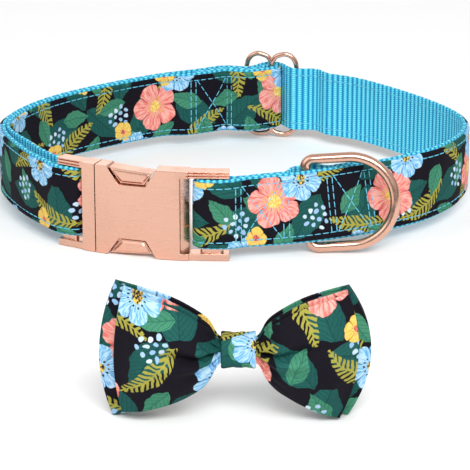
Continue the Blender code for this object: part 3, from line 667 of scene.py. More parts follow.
def print_group():
    """The whole print, from its ground up to the blossoms on top."""
    group, given, made = new_group("garden_print", ("Cloth",), ("Color",))
    scatter, leaf, blossom, frond = scatter_group(), leaf_group(), blossom_group(), frond_group()
    hand = given["Cloth"].noise(0.28, output="Color") - (0.5, 0.5, 0.5)
    cloth = given["Cloth"] + hand * (2.2, 2.2, 0.0)
    brush = (given["Cloth"] * (1.3, 0.8, 1.0)).noise(1.0, 4.0)
    colour = tint(brush, GROUND, GROUND_LIT)

    def paint_leaf(place, size, tones):
        shape = place_group(leaf, {"Place": place, "Long": size[0], "Wide": size[1]})
        tone = tint(brush * 0.9 - 0.1, tones[0], tones[1])
        tone = tint(shape["Half"] * 0.35, tone, tones[1])
        return shape["Shape"], tint(shape["Vein"] * 0.6, tone, tones[2])

    def paint_frond(place, size, tones):
        shape = place_group(frond, {"Place": place, "Long": size[0], "Reach": size[1]})
        return shape["Shape"], tint(brush, *tones)

    def paint_blossom(place, size, tones):
        radius, petals, cut = size
        shape = place_group(blossom, {"Place": place, "Radius": radius, "Petals": petals, "Notch": cut})
        tone = tint(shape["Streak"].step(0.36, 0.62), tones[0], tones[1])
        tone = tint(shape["Crease"] * 0.8, tone, tones[2])
        tone = tint(shape["Dots"], tone, tones[3])
        eye = tint(brush.step(0.42, 0.58), tones[3], tones[4])
        return shape["Shape"], tint(shape["Eye"], tone, eye)

    def paint_berries(place, size, tones):
        """A spray of small berries, each whole or left out by how far its middle lies out."""
        berry = place_group(scatter, {"Cloth": place, "Wide": BERRY_WIDE, "High": BERRY_HIGH,
                                      "Stray": BERRY_STRAY, "Turn": 0.0, "Seed": BERRY_SEED})
        outer, inner, spread = size
        near = reckon("LESS_THAN", (place - berry["Place"]).length(), spread)
        return berry["Place"].length().step(outer, inner) * near, tint(berry["Draw"], *tones)

    brushes = {"leaf": paint_leaf, "frond": paint_frond, "blossom": paint_blossom, "berry": paint_berries}
    for motif, (wide, high, shift, stray), size, tones, seed, share in PRINT_LAYERS:
        spot = place_group(scatter, {"Cloth": cloth, "Wide": wide, "High": high, "Shift": (*shift, 0.0),
                                     "Stray": stray, "Turn": 2 * math.pi, "Seed": seed})
        shape, tone = brushes[motif](spot["Place"], size, tones)
        colour = tint(shape * reckon("LESS_THAN", spot["Draw"], share), colour, tone)
    feed(made, {"Color": colour})
    return group


def twill_group():
    """Fine diagonal twill: its relief, and the light and dark of its yarns, half random slubs and half
    painted shade that follows the relief.
    """
    group, given, made = new_group("twill_weave", ("Cloth", "Pitch"), ("Relief", "Shade"))
    x, y = given["Cloth"].part(0), given["Cloth"].part(1)
    line = ((y * 1.35 + x) / given["Pitch"] * (2 * math.pi)).sine()
    bead = ((y - x) / given["Pitch"] * (4 * math.pi)).sine()
    relief = line * 0.35 + bead * 0.15 + 0.5
    slub = (given["Cloth"] * (1.0, 9.0, 1.0)).noise(0.7)
    # Shade is half random slub and half the relief, so the twill's grooves carry painted shade.
    feed(made, {"Relief": relief, "Shade": slub * 0.5 + relief * 0.5})
    return group


def printed_material():
    material, shader, cloth = cloth_material("printed_twill")
    colour = place_group(print_group(), {"Cloth": cloth})["Color"]
    weave = place_group(twill_group(), {"Cloth": cloth, "Pitch": TWILL_PITCH})
    # The print is darkened towards black where the weave's shade is low: painted shade in the twill's
    # grooves, mixed with the random slubs.
    dark = tint(0.72, colour, "000000")
    feed(shader, {"Base Color": tint(weave["Shade"].step(0.1, 0.6) * 0.45 + 0.55, dark, colour),
                  "Roughness": weave["Shade"] * -0.15 + 0.85,
                  "Normal": weave["Relief"].bump(0.45, 0.00012), "Specular IOR Level": 0.12})
    return material


def make_cover(strap, material):
    along = np.linspace(0.0, strap.length, int(strap.length / COVER_STEP))[:, None]
    half, seam, face, back = COVER_HALF, SEAM_HIGH, STRAP_THICK / 2, COVER_BACK
    upper = [
        # height, how far the front face lies below the cover's full thickness
        (0.0, 0.0), (3.5, 0.0), (seam - 2.4, 0.02), (seam - 1.0, 0.08), (seam - 0.35, 0.2), (seam, 0.3),
        (seam + 0.35, 0.2), (seam + 0.9, 0.05), (half - 0.5, 0.06), (half - 0.2, 0.22), (half, 0.5),
    ]
    section = [(face - low, high) for high, low in [(-high, low) for high, low in upper[:0:-1]] + upper]
    section += [(back + COVER_ROLL, half), (back, half - COVER_ROLL), (back, COVER_ROLL - half),
                (back + COVER_ROLL, -half)]
    out, up = (np.array(column)[None, :] for column in zip(*section))
    relief = sum(deep * np.sin(along / long + up / wide) for deep, long, wide in COVER_WAVES)
    near_seam = np.exp(-((np.abs(up) - seam) / PUCKER_WIDE) ** 2)
    relief = relief + PUCKER_DEEP * np.sin(2 * math.pi * along / PUCKER_LONG) * near_seam
    points = strap.point(along, up, out + np.where(out > face / 2, relief, 0.0))
    cloth = np.stack(np.broadcast_arrays(along, up, 0.0 * up), axis=-1)
    piece = make_piece("printed_cover", points, tube_faces(len(along), len(section)), material, cloth, 70.0)
    fit(piece, "print_cover")
    round(strap.length) * MM


printed = printed_material()
make_cover(strap, printed)


# The sewing: turquoise thread along both edges of the cover, and a crossed box through
# all the layers on each side of the ring, behind the buckle's plate and at the slider.
THREAD = 0.42
STITCH, STITCH_GAP = 2.45, 0.45
STITCH_SIDES = 6
STITCH_SHAPE = (
    # share of the stitch's length, how deep it sinks and how thick it is, as shares of the thread
    (0.0, 0.45, 0.5), (0.1, 0.12, 0.9), (0.5, 0.0, 1.0), (0.9, 0.12, 0.9), (1.0, 0.45, 0.5),
)
FRONT_BOXES = ((0.9, 17.5), (33.4, 47.0))   # x of the double lines at each box's ends
SLIDER_BOX = (-16.5, -2.0)
LINE_APART, CROSS_IN = 1.0, 1.6
EDGE_SUNK, BACK_SUNK, BOX_SUNK = 0.22, 0.05, 0.02
SEAM_START = 1.0                  # from the strap's ends


def thread_material():
    """Twisted nylon thread: a slanted twist along each stitch, with painted highlight on each ply's crest
    and painted shade between the plies.
    """
    material, shader, cloth = cloth_material("turquoise_thread")
    twist = ((cloth.part(0) + cloth.part(1)) * 14.0).sine() * 0.5 + 0.5
    # The twist's colour is painted light: painted highlight on each ply's crest, painted shade between the
    # plies.
    feed(shader, {"Base Color": tint(twist, "2B93BF", "7FDCF2"), "Roughness": twist * -0.1 + 0.5,
                  "Normal": twist.bump(0.4, 0.0001)})
    return material


class Seam:
    """Stitches gathered into one mesh, a given way out from the strap's middle line."""

    def __init__(self, name, out, inward=1.0):
        self.name, self.out, self.inward = name, out, inward
        self.points, self.faces, self.cloth = [], [], []

    def stitch(self, start, end):
        """One stitch between two (along, height) places, its ends pulled into the cloth."""
        base = len(self.points)
        run = math.dist(start, end)
        along, up = (end[0] - start[0]) / run, (end[1] - start[1]) / run
        for share, sink, size in STITCH_SHAPE:
            for k in range(STITCH_SIDES):
                turn = 2 * math.pi * k / STITCH_SIDES
                wide = THREAD / 2 * size * math.cos(turn)
                high = THREAD / 2 * size * math.sin(turn)
                self.points.append((start[0] + along * run * share - up * wide,
                                    start[1] + up * run * share + along * wide,
                                    self.out + (high - sink * THREAD) * self.inward))
                self.cloth.append((run * share, wide * 2, 0.0))
        faces = tube_faces(len(STITCH_SHAPE), STITCH_SIDES)
        self.faces += [tuple(v + base for v in face) for face in faces]

    def row(self, start, end):
        """A row of stitches between two (along, height) places."""
        count = max(1, int(round((math.dist(start, end) + STITCH_GAP) / (STITCH + STITCH_GAP))))
        share = STITCH / (STITCH + STITCH_GAP)
        for i in range(count):
            self.stitch(*([s + (e - s) * at / count for s, e in zip(start, end)] for at in (i, i + share)))

    def crossed_box(self, left, right):
        """Double lines at both ends and a cross between them."""
        for middle in (left, right):
            for at in (middle - LINE_APART, middle + LINE_APART):
                self.row((at, -SEAM_HIGH), (at, SEAM_HIGH))
        for high in (SEAM_HIGH, -SEAM_HIGH):
            self.row((left + CROSS_IN, -high), (right - CROSS_IN, high))

    def finish(self, strap, material):
        along, up, out = np.array(self.points).T
        piece = make_piece(self.name, strap.point(along, up, out), self.faces, material, self.cloth, 80.0)
        fit(piece)


def make_sewing(strap, material):
    face = STRAP_THICK / 2
    edge = Seam("edge_stitching", face - EDGE_SUNK)
    under = Seam("back_stitching", BACK_SUNK - face, -1.0)
    boxes = Seam("crossed_boxes", face - BOX_SUNK)
    for up in (-SEAM_HIGH, SEAM_HIGH):
        for seam in (edge, under):
            seam.row((SEAM_START, up), (strap.length - SEAM_START, up))
    for box in FRONT_BOXES:
        boxes.crossed_box(*(strap.along_at_x(x, "outer_right", "weave") for x in box))
    boxes.crossed_box(*(strap.along_at_x(x, "inner_left", "turn", behind=True) for x in SLIDER_BOX))
    for seam in (edge, under, boxes):
        seam.finish(strap, material)


make_sewing(strap, thread_material())


# The buckle: two halves cast in zinc alloy, plated in rose gold and curved to the neck. The
# body has two release notches, a band that falls away to its slot, and grooved arms with the
# bar. The plate carries the tongue and the two prongs, whose bevelled buttons fill the notches.
BUCKLE_HIGH, BUCKLE_THICK, BUCKLE_WALL = 32.4, 6.5, 1.3
BUCKLE_FACE = BUCKLE_THICK / 2
SEAM_HALF_GAP = 0.15
BODY_LENGTH, FEMALE_END = 33.1, 47.0
RECESS_START, RECESS_STEP, RECESS_END = 30.2, 0.9, 4.0
CAVITY_END, CAVITY_RIM = 28.6, 3.2
MALE_PLATE_LENGTH, MALE_END = 5.0, 15.2
ARM_HIGH, ARM_THICK = 2.4, 5.0
NOTCH_WIDE, NOTCH_NARROW, NOTCH_DEPTH = (4.4, 21.9), (8.8, 18.3), 6.3
BUTTON_MARGIN, BUTTON_INSET = 0.5, (0.4, 1.5)
BUTTON_SET_BACK = 0.75
PAD_MARGIN, PAD_SLOPE, PAD_RISE = 0.95, 0.7, 0.65
PAD_CORNERS = ((0.9, 0.2), (1.0, 0.9))  # how far its two outer corners are set in, along and down
PAD_SHARES = (0.55, 0.8)          # of its margin, kept at its outer edge and at its inner corners
TONGUE_REACH, TONGUE_HIGH = 14.0, 7.0
GRIP_PLAY, BUTTON_PLAY = 0.4, 0.2
PRONG_REACH, PRONG_LOW, PRONG_HIGH = 19.0, 4.4, 8.2
GROOVE_DOWN, GROOVE_HIGH, GROOVE_DEPTH = (0.35, 1.45), 0.38, 0.9
GROOVE_BODY, GROOVE_PLATE = -0.9, -1.2  # where they start, from the body's and the plate's end
FEMALE_BAR_END, MALE_BAR_END = 2.0, 0.2 # from the ends of the arms
EDGE_ROUND = 0.28
ROUND_ANGLE, SHARP_ANGLE = math.radians(35.0), math.radians(50.0)
BEND_STEP = 1.1                   # how closely the flat faces are cut, to follow the curve
OVER = 1.0                        # how far a cutter reaches past a face, or a joined bar into it
ROSE, ROSE_DEEP = (0.76, 0.445, 0.335, 1.0), (0.68, 0.37, 0.27, 1.0)


def rose_gold_material(name, roughness, worn_roughness):
    """Polished plating, with faint wiping marks and thin handling scratches."""
    material, shader = new_material(name)
    place = put(material.node_tree, "TexCoord", {}, "Object")
    cloud = place.noise(55.0, 3.0)
    marks = (place * (160.0, 160.0, 1500.0)).noise(1.0, 3.0)
    worn = (marks * 0.6 + cloud * 0.4).step(0.4, 0.7)
    feed(shader, {"Base Color": tint(0.25, ROSE, tint(cloud.step(0.35, 0.8), ROSE, ROSE_DEEP)),
                  "Roughness": worn * (worn_roughness - roughness) + roughness,
                  "Normal": marks.bump(0.02, 0.00002), "Metallic": 1.0})
    return material


def prism(outline, near, far):
    """A straight prism: an outline of along and height, between two outward offsets."""
    points = [(along, out, high) for out in (near, far) for along, high in outline]
    return points, tube_faces(2, len(outline))


def upright(section, low, high):
    """A straight prism: a section of along and outward place, between two heights."""
    points = [(along, out, z) for z in (low, high) for along, out in section]
    return points, tube_faces(2, len(section))


def block(low_along, high_along, near, far, low, high):
    return prism(((low_along, low), (high_along, low), (high_along, high), (low_along, high)), near, far)


def twin_blocks(low_along, high_along, near, far, low, high):
    """The same block at the buckle's lower and at its upper edge."""
    heights = ((low, high), (BUCKLE_HIGH - high, BUCKLE_HIGH - low))
    return [block(low_along, high_along, near, far, *pair) for pair in heights]


def rounded_bar(start, end):
    """The flat bar with round edges that stands between the two arms."""
    radius = BAR_THICK / 2
    section = np.concatenate([arc((end - radius, 0.0), radius, -90, 90, 14),
                              arc((start + radius, 0.0), radius, 90, 270, 14)])
    return upright(section, ARM_HIGH / 2, BUCKLE_HIGH - ARM_HIGH / 2)


def from_edge(down, high_side):
    return BUCKLE_HIGH - down if high_side else down


def notch(margin, rise, high_side):
    """A release notch or, with a margin, the button in it, at the buckle's top or bottom edge."""
    low, high = NOTCH_WIDE[0] + margin, NOTCH_WIDE[1] - margin
    depth = NOTCH_DEPTH - margin
    inner = ((NOTCH_NARROW[1] - margin, depth), (NOTCH_NARROW[0] + margin, depth))
    rows = ((low, -rise), (high, -rise), (high, 0.0)) + inner + ((low, 0.0),)
    if not rise:
        near, far = BUTTON_INSET
        low += near * (NOTCH_NARROW[0] - NOTCH_WIDE[0]) / NOTCH_DEPTH
        high += far * (NOTCH_NARROW[1] - NOTCH_WIDE[1]) / NOTCH_DEPTH
        rows = ((low, near), (high, far)) + inner
    return tuple((along, from_edge(down, high_side)) for along, down in rows)


def button_pad(high_side):
    """The pad cast on a button: its outline shrinks as it rises, so that its sides slope."""
    rings = []
    for margin in (PAD_MARGIN, PAD_MARGIN + PAD_SLOPE):
        outer, inner = BUTTON_INSET[0] + PAD_SHARES[0] * margin, NOTCH_DEPTH - margin
        (left, left_down), (right, right_down) = PAD_CORNERS
        aside = PAD_SHARES[1] * margin
        rings.append(((NOTCH_WIDE[0] + margin + left, outer + left_down),
                      (NOTCH_WIDE[1] - margin - right, outer + right_down),
                      (NOTCH_NARROW[1] - aside, inner), (NOTCH_NARROW[0] + aside, inner)))
    face = BUCKLE_FACE - BUTTON_SET_BACK
    layers = ((rings[0], face - OVER), (rings[0], face), (rings[1], face + PAD_RISE))
    points = [(along, out, from_edge(down, high_side)) for ring, out in layers for along, down in ring]
    return points, tube_faces(len(layers), 4)


def sloping_recess():
    """The band at the buckle's strap end, which falls away towards the slot."""
    face, end = BUCKLE_FACE, BODY_LENGTH + OVER
    section = ((RECESS_START, face + OVER), (RECESS_START, face - RECESS_STEP),
               (end, face - RECESS_END), (end, face + OVER))
    return upright(section, ARM_HIGH, BUCKLE_HIGH - ARM_HIGH)


def arm_grooves(start, end):
    """The thin grooves along the front of an upper arm."""
    return [block(start, end, ARM_THICK / 2 - GROOVE_DEPTH, ARM_THICK / 2 + OVER,
                  BUCKLE_HIGH - down - GROOVE_HIGH, BUCKLE_HIGH - down) for down in GROOVE_DOWN]


def cast_half(name, base, joined, cut, start, end):
    """One half of the buckle: cut and joined straight, its edges rounded, then bent to the curve."""
    body = add_object(name, closed_mesh("blank", *base))
    tools = []
    for operation, shapes in (("UNION", joined), ("DIFFERENCE", cut)):
        for shape in shapes:
            tools.append(add_object("tool", closed_mesh("blank", *shape)))
            boolean = body.modifiers.new("combine", "BOOLEAN")
            boolean.object, boolean.operation, boolean.solver = tools[-1], operation, "EXACT"
    rounding = body.modifiers.new("rounding", "BEVEL")
    rounding.width = EDGE_ROUND * MM
    rounding.segments = 3
    rounding.limit_method = "ANGLE"
    rounding.angle_limit = ROUND_ANGLE
    mesh = bpy.data.meshes.new_from_object(body.evaluated_get(bpy.context.evaluated_depsgraph_get()))
    for tool in tools:
        bpy.data.objects.remove(tool, do_unlink=True)
    body.modifiers.clear()
    body.data = mesh

    shape = bmesh.new()
    shape.from_mesh(mesh)
    for at in np.arange(start + BEND_STEP, end, BEND_STEP):
        bmesh.ops.bisect_plane(shape, geom=shape.verts[:] + shape.edges[:] + shape.faces[:],
                               plane_co=(at * MM, 0, 0), plane_no=(1, 0, 0), dist=1e-7)
    for vert in shape.verts:
        x, y = to_part(*buckle_place(vert.co.x / MM, vert.co.y / MM))
        vert.co.x, vert.co.y = x * MM, y * MM
    shape.to_mesh(mesh)
    shape.free()
    mesh.shade_smooth()
    mesh.set_sharp_from_angle(angle=SHARP_ANGLE)
    body.modifiers.new("flat faces first", "WEIGHTED_NORMAL").keep_sharp = True
    return body


def make_buckle(material):
    half, arm = BUCKLE_FACE, ARM_THICK / 2
    inside = half - BUCKLE_WALL
    grip = inside - GRIP_PLAY
    middle = BUCKLE_HIGH / 2
    body = cast_half(
        "buckle_body",
        block(SEAM_HALF_GAP, BODY_LENGTH, -half, half, 0.0, BUCKLE_HIGH),
        [*twin_blocks(BODY_LENGTH - OVER, FEMALE_END, -arm, arm, 0.0, ARM_HIGH),
         rounded_bar(FEMALE_BAR_START, FEMALE_END - FEMALE_BAR_END)],
        [block(-OVER, CAVITY_END, -inside, inside, CAVITY_RIM, BUCKLE_HIGH - CAVITY_RIM),
         sloping_recess(),
         *(prism(notch(0.0, OVER, high_side), -half - OVER, half + OVER) for high_side in (True, False)),
         *arm_grooves(BODY_LENGTH + GROOVE_BODY, FEMALE_END + OVER)],
        SEAM_HALF_GAP, FEMALE_END)
    plate = cast_half(
        "buckle_plate",
        block(-MALE_PLATE_LENGTH, -SEAM_HALF_GAP, -half, half, 0.0, BUCKLE_HIGH),
        [*twin_blocks(-MALE_END, OVER - MALE_PLATE_LENGTH, -arm, arm, 0.0, ARM_HIGH),
         rounded_bar(MALE_BAR_END - MALE_END, -MALE_BAR_START),
         block(-OVER, TONGUE_REACH, -grip, grip, middle - TONGUE_HIGH / 2, middle + TONGUE_HIGH / 2),
         *twin_blocks(-OVER, PRONG_REACH, -grip, grip, PRONG_LOW, PRONG_HIGH),
         *(prism(notch(BUTTON_MARGIN, 0.0, high_side), BUTTON_PLAY - half, half - BUTTON_SET_BACK)
           for high_side in (False, True)),
         button_pad(False),
         button_pad(True)],
        arm_grooves(-MALE_END - OVER, GROOVE_PLATE - MALE_PLATE_LENGTH),
        -MALE_END, PRONG_REACH)
    for piece, node in ((body, "buckle_female"), (plate, "buckle_male")):
        piece.data.materials.clear()
        piece.data.materials.append(material)
        fit(piece, node)


make_buckle(rose_gold_material("cast_rose_gold", 0.2, 0.34))


# The leash ring and the slider: round wire bent and welded shut, plated like the buckle.
# The ring turns about its straight bar in the sewn tunnel, on the joint's own axis.
RING_HIGH, RING_ARM, RING_BEND = 34.8, 15.1, 2.9
RING_REST_HEADING = math.radians(-5.0)
RING_STEP, RING_SIDES = 0.6, 28
RING_ROUND, RING_CORNER = 60, 14  # the steps of its arcs, before the path is evened out
SLIDER_WIRE = 1.9
SLIDER_LOW, SLIDER_HIGH = 0.4, 35.2
SLIDER_DIP_LOW, SLIDER_DIP_HIGH = 1.6, 3.2
OVAL_CORNER = ((0.0, 5.6), (0.9, 2.4), (2.9, 0.4))  # in from the side and down from the end
OVAL_DIP = ((7.0, 0.15), (8.8, 0.5))    # in from the side, and share of the dip
SLIDER_FINE, SLIDER_STEP, SLIDER_SIDES = 0.2, 0.5, 20
BAR_SIDES, BAR_RINGS = 24, 12


def bent_wire(path, normal, radius, sides):
    """A round wire bent along a closed path in one plane: its points and faces."""
    along = np.roll(path, -1, axis=0) - np.roll(path, 1, axis=0)
    along /= np.linalg.norm(along, axis=1)[:, None]
    out = np.cross(along, normal)
    turn = (2 * math.pi * np.arange(sides) / sides)[None, :, None]
    points = path[:, None] + radius * (np.cos(turn) * out[:, None] + np.sin(turn) * np.asarray(normal))
    return points.reshape(-1, 3), tube_faces(len(path), sides, closed=True)


def even_path(points, step):
    """The same closed path with points one step apart."""
    closed = np.concatenate([points, points[:1]])
    run = run_length(closed)
    places = np.linspace(0.0, run[-1], int(run[-1] / step), endpoint=False)
    return np.stack([np.interp(places, run, closed[:, k]) for k in range(closed.shape[1])], axis=1)


def make_leash_ring(material):
    joint = frame["record"]["behaviour"]["joints"][0]
    bar = np.array(joint["pos_m"]) / MM
    axis = -np.array(joint["axis"])
    axis /= np.linalg.norm(axis)
    reach = np.array([math.cos(RING_REST_HEADING), math.sin(RING_REST_HEADING), 0.0])
    reach -= axis * reach.dot(axis)
    reach /= np.linalg.norm(reach)
    half = (RING_HIGH - RING_WIRE) / 2
    path = np.concatenate([
        arc((RING_ARM, 0.0), half, -90, 90, RING_ROUND),
        arc((RING_BEND, half - RING_BEND), RING_BEND, 90, 180, RING_CORNER),
        arc((RING_BEND, RING_BEND - half), RING_BEND, 180, 270, RING_CORNER),
    ])
    path = even_path(path, RING_STEP)
    path = bar + path[:, :1] * reach + path[:, 1:] * axis
    points, faces = bent_wire(path, np.cross(axis, reach), RING_WIRE / 2, RING_SIDES)
    fit(make_piece("leash_ring_wire", points, faces, material), "d_ring", "leash_ring")


def oval_rows(half, dip):
    """Across and height of one oval's wire, from its side over its end to the shared dip."""
    side = SLIDER_PITCH
    corner = [(side - aside, half - down) for aside, down in OVAL_CORNER]
    dipping = [(side - aside, half - share * dip) for aside, share in OVAL_DIP]
    return [(side, 0.0), *corner, (side / 2, half), *dipping, (0.0, half - dip)]


def make_slider(material):
    half = (SLIDER_HIGH - SLIDER_LOW - SLIDER_WIRE) / 2
    middle = (SLIDER_HIGH + SLIDER_LOW) / 2
    over = oval_rows(half, SLIDER_DIP_HIGH)
    under = [(across, -up) for across, up in oval_rows(half, SLIDER_DIP_LOW)]
    loop = over + [(-across, up) for across, up in over[-2::-1]]
    loop += [(-across, up) for across, up in under[1:]] + under[-2:0:-1]
    around = smooth_curve(loop[-3:] + loop + loop[:4], SLIDER_FINE)
    from_start = np.linalg.norm(around - loop[0], axis=1)
    turn = len(around) // 2
    path = even_path(around[np.argmin(from_start[:turn]):turn + np.argmin(from_start[turn:])], SLIDER_STEP)
    path = np.stack([path[:, 0], 0.0 * path[:, 0], middle + path[:, 1]], axis=1)
    points, faces = bent_wire(path, (0.0, 1.0, 0.0), SLIDER_WIRE / 2, SLIDER_SIDES)
    heights = np.linspace(middle - half + SLIDER_DIP_LOW, middle + half - SLIDER_DIP_HIGH, BAR_RINGS)
    section = arc((0.0, 0.0), SLIDER_BAR / 2, 0, 360, BAR_SIDES)[:-1]
    bar = [(across, out, z) for z in heights for across, out in section]
    faces += [tuple(v + len(points) for v in face) for face in tube_faces(BAR_RINGS, BAR_SIDES)]
    placed = [(*to_part(*slider_place(across, out)), z) for across, out, z in list(points) + bar]
    fit(make_piece("slider_wire", placed, faces, material), "slider")


wire_metal = rose_gold_material("wire_rose_gold", 0.16, 0.28)
make_leash_ring(wire_metal)
make_slider(wire_metal)


# The bow: two bands of the printed cotton, each sewn into a loop and pinched flat at its
# middle, the smaller one on the bigger. Its folds stand out from the knot and fade. The
# knot is a strip with its long edges folded under, pulled round both loops.
BOW_X, BOW_Y, BOW_MID_Z = 1.0, -153.0, 21.2
BOW_WALL = 1.4
PINCH = 2 * BOW_WALL + GAP
PINCH_END, LEAST_DEPTH = 6.5, 2.2           # the loops are pressed flat as far as this
CLOTH_WALL = 0.9                  # the cotton with its lining, hemmed
BACK_DEPTH, FRONT_DEPTH = 5.6, 7.9
SWELLING = ((5.6, 0.0), (13.0, 1.0))    # distance from the middle, share of the loop's depth
END_TAPER = ((0.78, 1.0), (1.0, 0.08))  # share of the loop's reach, share of its depth
LOOPS_APART = ((5.6, GAP), (12.0, 2 * GAP))
EDGE_FLAT = 0.65                  # how much of a loop's swelling its upper and lower edges lose
SOFT_DEPTH, SOFT_START, SOFT_RISE, SOFT_LONG = 0.28, 12.0, 14.0, 6.2
BACK_FOLDS = 0.4                  # how deep the back loop's folds are, against the front one's
BOW_LEVELS = np.linspace(-1.0, 1.0, 71)
BOW_SHARES = np.concatenate([np.linspace(0.0, 0.8, 48), np.linspace(0.8, 1.0, 15)[1:]])
KNOT_WIDE, KNOT_HIGH, KNOT_WALL, KNOT_CORNER = 10.4, 9.7, 1.4, 2.4
KNOT_EDGE = ((0.985, 0.22), (1.0, 0.55), (1.0, 0.95), (0.96, 1.25))   # share of half its width, how deep in
KNOT_HOLLOW, KNOT_HEM = 0.32, 0.05      # how deep its face lies in its middle and along its hems
KNOT_CREASES = ((0.11, 1.5, 0.3), (0.04, 3.4, -0.4))    # depth, and how fast they turn across and along
BAND_STEP = 0.35
PRINT_AT = {"back": (431.0, 140.0), "front": (92.0, 318.0), "knot": (171.0, 131.0)}
BOW_OUTLINE = (
    # distance from the middle, half height
    (0.0, 3.0), (5.7, 3.3), (8.0, 7.3), (12.0, 11.1), (19.0, 15.2), (28.0, 18.5), (37.0, 21.2),
)
BOW_ENDS = {
    # loop and side: reach at the top, at mid height and at the bottom, top height, bottom height
    ("back", -1): (36.4, 41.5, 37.7, 21.2, 21.2),
    ("back", 1): (32.8, 39.6, 32.9, 19.6, 21.2),
    ("front", -1): (33.8, 37.0, 34.6, 20.8, 18.6),
    ("front", 1): (32.2, 35.6, 30.2, 19.4, 20.6),
}
PLEATS = {
    # side: level at the middle, level climbed per millimetre, depth, width, how far out it fades
    -1: ((0.0, 0.004, 3.4, 0.085, 30.0), (0.50, -0.004, 1.0, 0.10, 18.0), (-0.42, 0.003, 1.1, 0.10, 19.0),
         (0.80, -0.003, 0.7, 0.07, 14.0), (-0.76, 0.004, 0.8, 0.07, 15.0)),
    1: ((0.0, 0.010, 3.4, 0.085, 28.0), (0.52, 0.004, 0.9, 0.10, 17.0), (-0.40, 0.004, 1.1, 0.10, 20.0),
        (0.82, 0.0, 0.6, 0.07, 14.0), (-0.74, 0.002, 0.8, 0.07, 15.0)),
}
PLEAT_START, PLEAT_SPREAD = (5.3, 7.2), 30.0
PLEAT_ROLLS = ((0.75, -1.7, 1.3), (0.35, 2.0, 1.6))    # height, place and width, beside a pleat's valley
outline_line = smooth_curve(BOW_OUTLINE, 0.5)


def half_height(along):
    """The bow's half height at a distance from its middle."""
    return float(np.interp(along, outline_line[:, 0], outline_line[:, 1]))


def loop_reach(loop, side, level):
    """How far a bow loop reaches at a level, from -1 at its lower edge to 1 at its upper one."""
    top, middle, bottom = BOW_ENDS[loop, side][:3]
    return middle + (top - bottom) / 2 * level + ((top + bottom) / 2 - middle) * level * level


def loop_depth(loop, side, along, level):
    """How far a loop's front face stands from its back face."""
    depth = BACK_DEPTH if loop == "back" else FRONT_DEPTH
    rise = table_value(SWELLING, along)
    fall = table_value(END_TAPER, along / loop_reach(loop, side, level))
    return PINCH + (depth - PINCH) * rise * fall * (1 - EDGE_FLAT * level * level)


def loop_back(loop, side, along, level):
    """The outward place of a loop's back face: the front loop lies on the back one."""
    out = KNOT_WALL + GAP
    if loop == "front":
        out += loop_depth("back", side, along, level) + table_value(LOOPS_APART, along)
    return out


def pleat_relief(side, along, level):
    """How far the folds lift or sink a face: a sharp valley with a soft roll below it."""
    relief = 0.0
    for start, climb, deep, wide, fade in PLEATS[side]:
        strength = table_value(((PLEAT_START[0], 0.0), (PLEAT_START[1], 1.0), (0.55 * fade, 0.7),
                                (fade, 0.0)), along)
        off = (level - start - climb * along) / (wide * (0.8 + along / PLEAT_SPREAD))
        roll = sum(high * math.exp(-((off - at) / width) ** 2) for high, at, width in PLEAT_ROLLS)
        relief += deep * strength * (roll - math.exp(-abs(off) ** 1.6))
    return relief


def soft_relief(side, along, level):
    """Shallow waves of cloth that was handled."""
    far = min(max((along - SOFT_START) / SOFT_RISE, 0.0), 1.0)
    wave = math.sin(along / SOFT_LONG + 2.1 * level + side) * math.cos(1.7 * level - 0.6 * side)
    return SOFT_DEPTH * far * (1 - 0.6 * level * level) * wave


def loop_point(loop, side, share, level, front, inset):
    """A point of a bow loop, on its outer skin, or set in by its cloth's thickness."""
    reach = loop_reach(loop, side, level)
    along = share * reach
    thick = loop_depth(loop, side, along, level)
    if front:
        lift = pleat_relief(side, along, level) * (1.0 if loop == "front" else BACK_FOLDS)
        lift += soft_relief(side, along, level)
        thick = max(thick + lift, PINCH if along < PINCH_END else LEAST_DEPTH)
    out = loop_back(loop, side, along, level) + (thick - inset if front else inset)
    corner = BOW_ENDS[loop, side][3 if level > 0 else 4] / half_height(reach)
    high = half_height(along) * level * (1 + (corner - 1) * share ** 2)
    high -= math.copysign(min(inset, 0.25), level) * abs(level) ** 12
    x, y = to_part(BOW_X + side * (along - inset * share ** 20), BOW_Y - out)
    return x, y, BOW_MID_Z + high


def make_bow_loop(loop, material):
    # Round the loop: the front from left to right, then the back from right to left.
    order = [(side, share, front) for front, sides in ((True, (-1, 1)), (False, (1, -1)))
             for side, shares in zip(sides, (BOW_SHARES[::-1], BOW_SHARES[1:])) for share in shares]
    rows, columns = len(BOW_LEVELS), len(order)
    grid = np.array([[[loop_point(loop, side, share, level, front, inset) for level in BOW_LEVELS]
                      for side, share, front in order] for inset in (0.0, CLOTH_WALL)])
    points = grid.reshape(-1, 3)
    cloth = points[:, [0, 2, 1]] * (1.0, 1.0, 0.0) + (*PRINT_AT[loop], 0.0)
    inner, last = rows * columns, rows - 1
    faces = []
    for i in range(columns):
        here, there = i * rows, (i + 1) % columns * rows
        for k in range(last):
            a, b, c, d = here + k, there + k, there + k + 1, here + k + 1
            faces += [(a, b, c, d), (inner + d, inner + c, inner + b, inner + a)]
        faces += [(here, inner + here, inner + there, there),
                  (there + last, inner + there + last, inner + here + last, here + last)]
    piece = make_piece("bow_" + loop + "_loop", points, faces, material, cloth, 60.0)
    fit(piece, "bow_" + loop)


def rounded_loop(deep, high, out):
    """A rounded rectangle of outward place and height, run anticlockwise."""
    a, b = deep / 2 - KNOT_CORNER, high / 2 - KNOT_CORNER
    corners = ((0, a, b), (90, -a, b), (180, -a, -b), (270, a, -b))
    return np.concatenate([arc((out + aside, BOW_MID_Z + up), KNOT_CORNER, start, start + 90, 10)
                           for start, aside, up in corners])


def band_section(face, edge, half):
    """A band's section: its face, round one edge to its back, and round the other edge."""
    return (face + [(share * half, depth) for share, depth in edge]
            + [(-share * half, depth) for share, depth in edge[::-1]])


